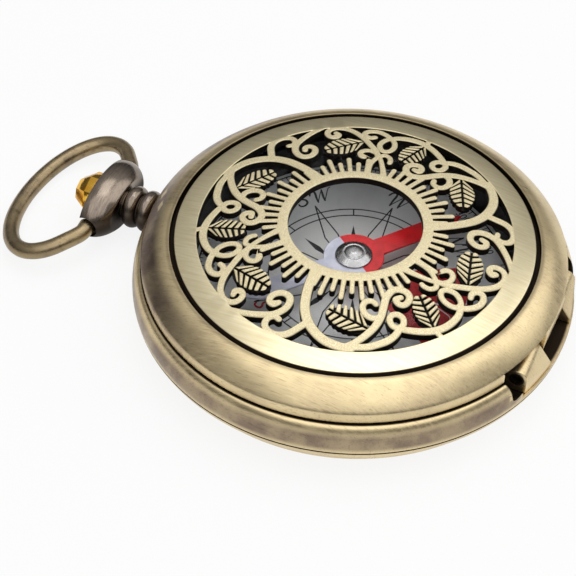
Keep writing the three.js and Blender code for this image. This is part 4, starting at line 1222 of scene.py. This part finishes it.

# %% [markdown]
# ## The pierced plate
# This is the heart of the object: a domed plate, pierced all round its window. The same drawing comes
# three times. It could be cut from a disc with a hundred cutters, but it is easier to draw the vines
# as strokes, unite them, and dome the result. Leaves are a low plate with raised lobes, so that the
# veins between them are black, as blackening and painted shade.

# %% The drawing: vines, rings and leaves, in millimetres, with the fork pointing up
# A vine is its widths at the start, middle and end, and its points. A leaf is stalk, tip and width.
VINES = [
    ((0.8, 0.62, 0.6), [
        (-1.0, 7.6), (-1.2, 8.6), (-1.25, 9.6), (-1.05, 10.5), (-0.75, 11.2),
    ]),
    ((0.9, 0.62, 0.6), [
        (0.75, 7.6), (0.45, 8.6), (0.1, 9.5), (-0.3, 10.4), (-0.75, 11.2),
    ]),
    ((0.7, 0.74, 0.66), [
        (-0.75, 11.0), (-1.4, 12.1), (-2.25, 13.0), (-3.25, 13.95), (-4.4, 14.75), (-5.6, 15.15),
        (-6.7, 15.0), (-7.35, 14.4), (-7.4, 13.65), (-6.9, 13.1), (-6.25, 13.2), (-6.1, 13.75),
        (-6.5, 14.0),
    ]),
    ((0.6, 0.66, 0.62), [
        (-1.1, 11.6), (-1.9, 11.9), (-2.6, 11.65), (-2.85, 11.1), (-2.6, 10.6), (-2.25, 10.5),
    ]),
    ((0.6, 0.62, 0.58), [
        (-0.8, 11.1), (-0.25, 11.6), (0.35, 11.4), (0.62, 10.85), (0.62, 10.45),
    ]),
    ((0.7, 0.74, 0.66), [
        (-0.4, 14.9), (-1.1, 15.45), (-2.1, 15.8), (-3.0, 15.6), (-3.45, 15.05), (-3.25, 14.5),
        (-2.65, 14.35), (-2.2, 14.6),
    ]),
    ((0.7, 0.86, 0.7), [
        (-0.5, 14.9), (0.3, 15.4), (1.4, 15.65), (2.6, 15.6), (3.7, 15.2), (4.7, 14.5), (5.6, 13.6),
        (6.2, 12.8),
    ]),
    ((0.7, 0.84, 0.72), [
        (5.9, 12.9), (6.9, 13.25), (7.9, 13.25), (8.9, 12.95), (9.9, 12.5), (10.9, 11.7),
    ]),
    ((0.66, 0.84, 0.74), [
        (3.45, 10.35), (4.0, 10.2), (4.15, 10.75), (3.85, 11.2), (3.25, 11.2), (2.7, 10.85),
        (2.55, 10.2), (2.9, 9.5), (3.6, 9.2), (4.6, 9.45), (5.6, 10.15), (6.6, 10.8), (7.8, 11.25),
        (9.2, 11.4), (10.6, 11.3), (11.6, 11.0),
    ]),
    ((0.7, 0.72, 0.62), [
        (6.7, 10.8), (7.35, 10.3), (7.5, 9.5), (7.15, 8.75), (6.5, 8.5), (5.95, 8.85), (5.9, 9.4),
    ]),
    ((0.8, 0.8, 0.64), [
        (-11.7, 7.4), (-12.2, 8.5), (-12.6, 9.6), (-12.5, 10.6), (-11.9, 11.4), (-11.0, 11.65),
        (-10.35, 11.2), (-10.3, 10.5), (-10.75, 10.15),
    ]),
    ((0.62, 0.8, 0.66), [
        (-8.0, 15.0), (-8.9, 13.6), (-9.4, 12.6), (-9.8, 11.5), (-10.0, 10.5), (-9.75, 9.5),
        (-9.2, 8.85), (-8.5, 8.6), (-7.85, 8.95), (-7.6, 9.65), (-7.8, 10.35), (-8.35, 10.65),
        (-8.85, 10.35), (-8.75, 9.8),
    ]),
    ((1.0, 1.04, 1.0), [
        (-15.6, 4.0), (-15.2, 5.0), (-14.3, 6.2), (-13.1, 7.0), (-11.6, 7.45), (-10.0, 7.4),
        (-8.4, 6.9), (-7.0, 6.25), (-5.5, 5.4),
    ]),
    ((0.7, 0.6, 0.7), [
        (3.5, 15.2), (3.5, 15.8), (3.5, 16.6),
    ]),
]
VINE_RINGS = [
    (0.66, [
        (-0.45, 14.85), (-1.05, 14.3), (-1.3, 13.4), (-1.0, 12.6), (-0.5, 12.3), (0.05, 12.6),
        (0.3, 13.4), (0.1, 14.3),
    ]),
    (0.7, [
        (6.4, 12.3), (6.1, 12.85), (5.45, 12.85), (5.0, 12.3), (5.1, 11.65), (5.6, 11.35),
        (6.15, 11.6),
    ]),
]
LEAVES = [
    ((-2.9, 13.5), (-6.75, 10.3), 2.7),
    ((3.5, 15.3), (1.7, 11.1), 2.5),
    ((8.4, 11.3), (9.9, 6.4), 2.6),
]
print("strokes in one third:", len(VINES) + len(VINE_RINGS), "leaves:", len(LEAVES))

# %% [markdown]
# ### Leaves and rays
# A leaf is a low plate that carries raised lobes, with the gaps between them as its veins. The lobes
# could be carved with a bump map, but then a low light would show them flat, so they are real plates
# with soft edges. The rays are short strokes, long and short in turn, round the window.

# %% Leaf lobes and rays
EDGE_SOFT, LOBE_SOFT = 0.09, 0.063
PLATE_TOP = GRILLE_THICKNESS
LEAF_FLOOR, LEAF_INSET = 0.4, 0.04
LEAF_SKEW, LEAF_FULLNESS, LEAF_STEPS = 1.15, 0.6, 24
LOBES, LOBE_STEPS = 5, 8
FIRST_LOBE, LAST_LOBE, LOBE_END = 0.04, 0.82, 0.985
LOBE_LEAN, LOBE_BULGE = 0.256, 0.05
VEIN, MIDRIB_HALF = 0.3, 0.126
SHORTEST_EDGE = 0.2


def leaf(stalk, tip, width):
    """A low leaf plate with raised lobes on both sides of its midrib."""
    stalk, tip = Vector(stalk), Vector(tip)
    along = tip - stalk
    length = along.length
    along = along / length
    across = Vector((-along.y, along.x))

    def half_width(u):
        u = min(max(u, 0.0), 1.0)
        return width / 2 * max(math.sin(math.pi * u**LEAF_SKEW), 0.0) ** LEAF_FULLNESS

    def spot(u, v):
        return stalk + along * (u * length) + across * v

    edge = [k / LEAF_STEPS for k in range(1, LEAF_STEPS)]
    outline = [spot(0, 0)] + [spot(u, half_width(u) - LEAF_INSET) for u in edge]
    outline += [spot(1, 0)] + [spot(u, LEAF_INSET - half_width(u)) for u in edge[::-1]]
    plates = [slab("leaf", outline, 0, LEAF_FLOOR)]
    pitch = (LAST_LOBE - FIRST_LOBE) / LOBES
    gap = VEIN / length / 2
    for side in (-1, 1):
        for lobe in range(LOBES + 1):
            low = FIRST_LOBE + lobe * pitch + gap
            high = min(FIRST_LOBE + (lobe + 1) * pitch - gap, LOBE_END)
            rim = []
            for k in range(LOBE_STEPS + 1):
                u = low + (high - low) * k / LOBE_STEPS
                reach = u + LOBE_LEAN * (1 - u)
                bulge = LOBE_BULGE * math.sin(math.pi * k / LOBE_STEPS)
                rim.append(spot(reach, side * max(half_width(reach) + bulge, VEIN)))
            rib = [spot(high, side * MIDRIB_HALF), spot(low, side * MIDRIB_HALF)]
            if (rim[-1] - rib[0]).length < SHORTEST_EDGE:
                rim = rim[:-1]
            plates.append(slab("lobe", rim + rib, 0, PLATE_TOP, LOBE_SOFT))
    return plates


RING_R = 8.1
RAYS, RAY_PITCH_DEG = 20, 6.0
RAY_ROOT_R, LONG_RAY, SHORT_RAY = 7.6, 2.15, 1.35
RAY_WIDTHS = (0.6, 0.52, 0.58)
FORK_CLEAR_DEG, ARCH_ROOT_DEG, ARCH_CLEAR_DEG = 6.0, 46.0, 4.0


def ray(index):
    """One finger standing out from the window ring, or nothing where a vine is rooted."""
    degrees = 60 - (index + 0.5) * RAY_PITCH_DEG
    if abs(degrees) < FORK_CLEAR_DEG or abs(degrees - ARCH_ROOT_DEG) < ARCH_CLEAR_DEG:
        return []
    reach = RING_R + (LONG_RAY if index % 2 == 0 else SHORT_RAY)
    line = [polar(r, 90 + degrees) for r in (RAY_ROOT_R, (RAY_ROOT_R + reach) / 2, reach)]
    return [slab("ray", stroke(line, RAY_WIDTHS), 0, PLATE_TOP, EDGE_SOFT)]


def one_third():
    """All the plates of one third of the drawing."""
    plates = []
    for widths, points in VINES:
        plates.append(slab("vine", stroke(smooth(points), widths), 0, PLATE_TOP, EDGE_SOFT))
    for width, points in VINE_RINGS:
        line = smooth(points, closed=True)
        half = len(line) // 2
        for part in (line[: half + 3], line[half:] + line[:3]):
            plates.append(slab("vine", stroke(part, (width,) * 3), 0, PLATE_TOP, EDGE_SOFT))
    for stalk, tip, width in LEAVES:
        plates += leaf(stalk, tip, width)
    for index in range(RAYS):
        plates += ray(index)
    return plates


print("leaf and ray helpers ready")

# %% [markdown]
# ### Uniting and doming
# The plates of one third are united, copied twice round the axis, and united again with the ring of
# the window and the border. Every vertex is then lifted by a parabola, which domes the plate. Doming
# last keeps the drawing flat and simple while it is made.

# %% Unite the drawing, repeat it three times, and dome it
FIRST_FORK_DEG = 5.8
REPEATS = 3
RING_SOFT = 0.1
WELD = 2e-6
OPENWORK_SMOOTH_ANGLE = math.radians(38)


def flat_ring(name, inner, outer):
    """A flat ring as thick as the plate, with its two top edges rounded."""
    return turned(
        name,
        [(inner, 0), (outer, 0), (outer, PLATE_TOP, RING_SOFT), (inner, PLATE_TOP, RING_SOFT)],
        steps=FINE_STEPS,
    )


plates = one_third()
third = combine(plates[0], plates[1:], "UNION", "MANIFOLD")
print("one third:", len(third.data.polygons), "faces")
thirds = [third]
for _ in range(REPEATS - 1):
    only(third)
    bpy.ops.object.duplicate()
    thirds.append(bpy.context.object)
for count, copy in enumerate(thirds):
    copy.rotation_euler = (0, 0, math.radians(FIRST_FORK_DEG - 90 + 360 / REPEATS * count))
    only(copy)
    bpy.ops.object.transform_apply(location=True, rotation=True, scale=True)
window_ring = flat_ring("window_ring", WINDOW_R, RING_R)
rim_ring = flat_ring("rim_ring", BORDER_R, GRILLE_R)
lid_grille = combine(rim_ring, [window_ring] + thirds, "UNION", "MANIFOLD")
lid_grille.name = lid_grille.data.name = "pierced_plate"
bpy.ops.object.mode_set(mode="EDIT")
bpy.ops.mesh.select_all(action="SELECT")
bpy.ops.mesh.remove_doubles(threshold=WELD)
bpy.ops.mesh.quads_convert_to_tris(quad_method="BEAUTY", ngon_method="BEAUTY")
bpy.ops.mesh.beautify_fill(angle_limit=math.radians(1))
bpy.ops.object.mode_set(mode="OBJECT")
for vertex in lid_grille.data.vertices:
    radius = math.hypot(vertex.co.x, vertex.co.y) / MM
    vertex.co.z += (GRILLE_BOTTOM + dome_rise(radius)) * MM
bpy.ops.object.shade_smooth_by_angle(angle=OPENWORK_SMOOTH_ANGLE)
dress(lid_grille, "lid", openwork_bronze, "openwork_bronze", "lid_grille")

# %% [markdown]
# ## The hinge
# Three knuckles share one pin: two stand on the case, and the middle one is a tab of the lid. Each is
# a bar of one section, so its outline is drawn from the side and the plate is turned to lie along X.

# %% Knuckles
KNUCKLE_R, PIN_BORE_R, PIN_BORE_STEPS = 1.15, 0.55, 40
KNUCKLE_SOFT, KNUCKLE_SEGMENTS, KNUCKLE_EDGE_DEG = 0.1, 3, 50
TOE_TANGENT_DEG, TAB_TANGENT_DEGS = 144.1, (185.0, 379.1)
TOE_Y, TOE_LOW_Z, TOE_HIGH_Z = -23.2, 3.95, 4.45
CASE_ROUND_R = 23.35
KNUCKLE_NEAR, KNUCKLE_FAR, TAB_HALF = 3.15, 7.8, 2.9
TAB_SHOULDER_Z, TAB_TOP_Z = 7.45, NOTCH_TOP_Z - 0.05
TAB_FRONT_Y, TAB_TOP_FRONT_Y, TAB_STEPS = -22.3, -22.27, 26


def side_bar(name, outline, x_low, x_high):
    """A bar along X from an outline of (y, z) points, with soft edges and a bore for the pin."""
    bar = slab(name, outline, x_low, x_high)
    for vertex in bar.data.vertices:
        y, z, x = vertex.co
        vertex.co = (x, y, z)
    softened(bar, KNUCKLE_SOFT, KNUCKLE_SEGMENTS, KNUCKLE_EDGE_DEG)
    bore = [(0, x_low - 1), (PIN_BORE_R, x_low - 1), (PIN_BORE_R, x_high + 1), (0, x_high + 1)]
    return cut_out(bar, turned("bore", bore, "X", (0, HINGE_Y, HINGE_Z), PIN_BORE_STEPS))


def barrel(start_deg, end_deg, steps=20):
    """Points round the hinge axis, seen from +X with y to the right and z up."""
    turns = [math.radians(start_deg + (end_deg - start_deg) * k / steps) for k in range(steps + 1)]
    return [(HINGE_Y + KNUCKLE_R * math.cos(t), HINGE_Z + KNUCKLE_R * math.sin(t)) for t in turns]


toe = [(TOE_Y, TOE_HIGH_Z), (TOE_Y, TOE_LOW_Z), (HINGE_Y + KNUCKLE_R, TOE_LOW_Z)]
case_side = barrel(0, TOE_TANGENT_DEG) + toe
for side, node_name, low, high in (
    ("near", "case_knuckle_left", -KNUCKLE_FAR, -KNUCKLE_NEAR),
    ("far", "case_knuckle_right", KNUCKLE_NEAR, KNUCKLE_FAR),
):
    knuckle = side_bar(f"hinge_knuckle_{side}", case_side, low, high)
    round_off = [(0, 2), (CASE_ROUND_R, 2), (CASE_ROUND_R, 9), (0, 9)]
    combine(knuckle, [turned("case_round", round_off, steps=FINE_STEPS)], "INTERSECT")
    bpy.ops.object.shade_smooth_by_angle(angle=SMOOTH_ANGLE)
    dress(knuckle, "case", hinge_bronze, "case_bronze", node_name)
tab_side = barrel(*TAB_TANGENT_DEGS, TAB_STEPS) + [
    (HINGE_Y + KNUCKLE_R / 2, TAB_SHOULDER_Z),
    (HINGE_Y + KNUCKLE_R / 2, TAB_TOP_Z),
    (TAB_TOP_FRONT_Y, TAB_TOP_Z),
    (TAB_FRONT_Y, TAB_SHOULDER_Z),
]
tab = side_bar("hinge_tab", tab_side, -TAB_HALF, TAB_HALF)
dress(tab, "lid", hinge_bronze, "case_bronze", "lid_knuckle")

# %% [markdown]
# ## The neck
# The neck joins the case to the ball. It is turned with two beads, and a spigot that sits in the bore
# of the case. Each bead is half an ellipse, so it is round on top and steep at the waist.

# %% Neck
NECK_Y, NECK_STEPS = 23.8, 72
BEAD_LENGTH, BEAD_PITCH, BEAD_R, WAIST_R = 1.6, 1.8, 2.4, 1.7
FIRST_BEAD, BEAD_STEPS = 0.02, 14
SPIGOT_R, SPIGOT_START, SPIGOT_END, NECK_END = 0.95, -1.7, -0.45, 3.63


def bead(start):
    """The round back of a bead that starts at a height along the neck."""
    turns = [math.pi * k / BEAD_STEPS for k in range(BEAD_STEPS + 1)]
    return [
        (WAIST_R + (BEAD_R - WAIST_R) * math.sin(t), start + BEAD_LENGTH * (1 - math.cos(t)) / 2)
        for t in turns
    ]


neck = turned(
    "pendant_beads",
    [
        (STEM_BORE_R, SPIGOT_START),
        (SPIGOT_R, SPIGOT_START),
        (SPIGOT_R, SPIGOT_END),
        (WAIST_R, SPIGOT_END),
        *bead(FIRST_BEAD),
        *bead(BEAD_PITCH),
        (WAIST_R, NECK_END),
        (STEM_BORE_R, NECK_END),
    ],
    "Y",
    (0, NECK_Y, PENDANT_Z),
    NECK_STEPS,
)
dress(neck, "case", dark_bronze, "dark_bronze", "pendant_neck")

# %% [markdown]
# ## The ball
# The ball is cut flat at both ends, widened sideways and bored for the button, the stem and the bow.
# It is turned round and then pressed flat with one resize, which is how such a ball is swaged. The
# bow's holes are sunk at their mouths, so that the bent wire can swing past.

# %% Knob
KNOB_Y = 29.85
KNOB_HALF = (5.7, 3.3, 3.2)
KNOB_INNER, KNOB_OUTER = -2.4, 0.7
KNOB_INNER_SOFT, KNOB_OUTER_SOFT = 0.3, 0.16
KNOB_CENTRE = (0, KNOB_Y, PENDANT_Z)
KNOB_LINE_STEPS, KNOB_STEPS = 20, 96
BUTTON_BORE_R, BUTTON_SEAT = 2.65, -0.8
BOW_HOLE_R, BOW_HOLE_START, BOW_SINK_R, BOW_SINK_START = 1.07, 3.6, 1.34, 4.7
PAST_KNOB = 9
knob_line = []
for k in range(KNOB_LINE_STEPS + 1):
    y = KNOB_INNER + (KNOB_OUTER - KNOB_INNER) * k / KNOB_LINE_STEPS
    knob_line.append((KNOB_HALF[0] * math.sqrt(1 - (y / KNOB_HALF[1]) ** 2), y))
knob_line[0] = (*knob_line[0], KNOB_INNER_SOFT)
knob_line[-1] = (*knob_line[-1], KNOB_OUTER_SOFT)
knob_profile = [(0, KNOB_INNER), *knob_line, (0, KNOB_OUTER)]
knob = turned("pendant_ball", knob_profile, "Y", KNOB_CENTRE, KNOB_STEPS)
bpy.ops.object.mode_set(mode="EDIT")
bpy.ops.mesh.select_all(action="SELECT")
bpy.ops.transform.resize(
    value=(1, 1, KNOB_HALF[2] / KNOB_HALF[0]), center_override=[c * MM for c in KNOB_CENTRE]
)
bpy.ops.object.mode_set(mode="OBJECT")
knob_tools = [
    cross_bore("button_bore", BUTTON_BORE_R, BUTTON_SEAT, 5, "Y", KNOB_CENTRE),
    cross_bore("stem_hole", STEM_BORE_R, -5, 5, "Y", KNOB_CENTRE),
]
for hole_r, start in ((BOW_HOLE_R, BOW_HOLE_START), (BOW_SINK_R, BOW_SINK_START)):
    for low, high in ((start, PAST_KNOB), (-PAST_KNOB, -start)):
        knob_tools.append(cross_bore("bow_hole", hole_r, low, high, "X", KNOB_CENTRE))
cut_out(knob, *knob_tools)
dress(knob, "case", dark_bronze, "dark_bronze", "pendant_knob")

# %% [markdown]
# ## The button
# The gold button frees the lid. It is faceted like a cut stone, so it is turned in only eight steps,
# and its edges get a narrow bevel, because a knife edge catches no light.

# %% Button
BUTTON_FACETS = 8
BUTTON_R, BUTTON_TABLE_R = 2.5, 1.45
BUTTON_FOOT, BUTTON_GIRDLE, BUTTON_TABLE = 0.2, 2.0, 3.5
FACET_SOFT, FACET_SEGMENTS, FACET_EDGE_DEG = 0.07, 2, 12
FACET_SMOOTH_ANGLE = math.radians(14)
button_profile = [
    (0, BUTTON_FOOT),
    (BUTTON_R, BUTTON_FOOT),
    (BUTTON_R, BUTTON_GIRDLE),
    (BUTTON_TABLE_R, BUTTON_TABLE),
    (0, BUTTON_TABLE),
]
button = turned("lid_button", button_profile, "Y", KNOB_CENTRE, BUTTON_FACETS)
softened(button, FACET_SOFT, FACET_SEGMENTS, FACET_EDGE_DEG)
bpy.ops.object.shade_smooth_by_angle(angle=FACET_SMOOTH_ANGLE)
dress(button, "button", polished_gold, "polished_gold", "button_cap")

# %% [markdown]
# ## The bow
# The ring to hang it by is one bent wire. A curve with a round bevel is the natural way to make wire;
# it is turned into a mesh at the end, like the rest.

# %% Bow
WIRE_R = 0.915
BOW_HALF_WIDTH, BOW_HALF_LENGTH, BOW_CENTRE, BOW_SHOULDER = 9.7, 5.6, 4.8, 1.2
BOW_END, BOW_BEND = 4.3, 5.7
BOW_SLIDE, BOW_ABOVE_TABLE = 0.5, 0.15
BOW_STEPS, WIRE_STEPS, WIRE_ROUNDNESS = 18, 8, 6
BOW_DROP = PENDANT_Z - WIRE_R - BOW_ABOVE_TABLE
bow_tilt = math.asin(BOW_DROP / (BOW_CENTRE + BOW_HALF_LENGTH))
bow_start = math.asin((BOW_CENTRE - BOW_SHOULDER) / BOW_HALF_LENGTH)
bow_line = [(BOW_END, 0), (BOW_BEND, 0)]
for k in range(BOW_STEPS + 1):
    turn = -bow_start + (math.pi + 2 * bow_start) * k / BOW_STEPS
    bow_line.append((BOW_HALF_WIDTH * math.cos(turn), BOW_CENTRE + BOW_HALF_LENGTH * math.sin(turn)))
bow_line += [(-BOW_BEND, 0), (-BOW_END, 0)]
only()
bpy.ops.curve.primitive_bezier_curve_add()
bow = bpy.context.object
bow.name = bow.data.name = "bow_ring"
bow.data.splines.clear()
wire = bow.data.splines.new("POLY")
bow_path = smooth(bow_line, per=WIRE_STEPS)
wire.points.add(len(bow_path) - 1)
for point, (x, out) in zip(wire.points, bow_path):
    point.co = (
        (x - BOW_SLIDE) * MM,
        (KNOB_Y + out * math.cos(bow_tilt)) * MM,
        (PENDANT_Z - out * math.sin(bow_tilt)) * MM,
        1,
    )
bow.data.dimensions = "3D"
bow.data.bevel_depth = WIRE_R * MM
bow.data.bevel_resolution = WIRE_ROUNDNESS
bow.data.use_fill_caps = True
bpy.ops.object.convert(target="MESH")
bow = bpy.context.object
bpy.ops.object.mode_set(mode="EDIT")
bpy.ops.mesh.select_all(action="SELECT")
bpy.ops.mesh.remove_doubles(threshold=MERGE)
bpy.ops.mesh.normals_make_consistent(inside=False)
bpy.ops.object.mode_set(mode="OBJECT")
bpy.ops.object.shade_smooth_by_angle(angle=SMOOTH_ANGLE)
dress(bow, "bow", bow_bronze, "dark_bronze", "bow")

# %% [markdown]
# ## Hidden pieces
# Springs, pin, stem, pivot and jewel are already right in the CAD model and mostly out of sight, so
# they stay as they are and only get their finish.

# %% Finishes on the CAD pieces
KEPT_FINISHES = {
    "spacer_ring": black_plastic,
    "pivot_pin": steel,
    "needle_jewel": ruby,
    "lock_spring": steel,
    "lift_spring": steel,
    # The steel pin wears dark bronze, which paints shade into the knuckles' bore.
    "hinge_pin": dark_bronze,
    "button_stem": steel,
}
for name, finish in KEPT_FINISHES.items():
    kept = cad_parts[name]
    kept.data.materials.clear()
    kept.data.materials.append(finish)
print("CAD pieces kept in view:", len(KEPT_FINISHES))

# %% [markdown]
# ## The studio
# The object lies on white in a light tent. The floor is pale and catches a soft shadow; wide lamps
# give the long highlights, and the world is brighter overhead than at the horizon, as in a room.

# %% Floor, world and lamps
FLOOR_SIZE, FLOOR_DROP = 4000, 0.02
PAPER = 0.86
HORIZON_LIGHT, OVERHEAD_LIGHT = 0.08, 0.5
LAMP_TARGET = (0, 0, 5)
only()
bpy.ops.mesh.primitive_plane_add(size=FLOOR_SIZE * MM, location=(0, 0, -FLOOR_DROP * MM))
floor = bpy.context.object
floor.name = "floor"
floor_white, tree, shader, place = new_material(
    "floor white", Roughness=0.9, Base_Color=(PAPER, PAPER, PAPER, 1)
)
path = node(tree, "ShaderNodeLightPath").outputs
glow = node(tree, "ShaderNodeEmission", {"Color": (1, 1, 1, 1), "Strength": 1.0})
seen = math_node(tree, "MAXIMUM", path["Is Camera Ray"], path["Is Glossy Ray"])
seen = math_node(tree, "MAXIMUM", seen, path["Is Transmission Ray"])
seen = math_node(tree, "MULTIPLY", seen, PAPER)
end = next(n for n in tree.nodes if n.type == "OUTPUT_MATERIAL")
paper = node(tree, "ShaderNodeMixShader", {0: seen, 1: shader.outputs[0], 2: glow.outputs[0]})
tree.links.new(paper.outputs[0], end.inputs["Surface"])
floor.data.materials.append(floor_white)

world = bpy.data.worlds.new("studio")
bpy.context.scene.world = world
world.use_nodes = True
tree = world.node_tree
background = next(n for n in tree.nodes if n.type == "BACKGROUND")
upward = split(tree, node(tree, "ShaderNodeTexCoord").outputs["Generated"])["Z"]
feed(tree, background, Strength=ramp(tree, upward, 0.0, 0.8, HORIZON_LIGHT, OVERHEAD_LIGHT))
background.inputs["Color"].default_value = (1, 1, 1, 1)


def soft_lamp(name, place, size, watts):
    """A square area lamp aimed at the object; its place and size are in millimetres."""
    only()
    aim = (Vector(LAMP_TARGET) - Vector(place)).to_track_quat("-Z", "Y").to_euler()
    bpy.ops.object.light_add(type="AREA", location=[c * MM for c in place], rotation=aim)
    lamp = bpy.context.object
    lamp.name = name
    lamp.data.size = size * MM
    lamp.data.energy = watts


soft_lamp("key", (-130, -80, 420), 600, 1.2)
soft_lamp("side", (260, -300, 300), 380, 0.5)
soft_lamp("back", (185, 50, 450), 260, 0.34)
bpy.context.scene.view_settings.view_transform = "Standard"
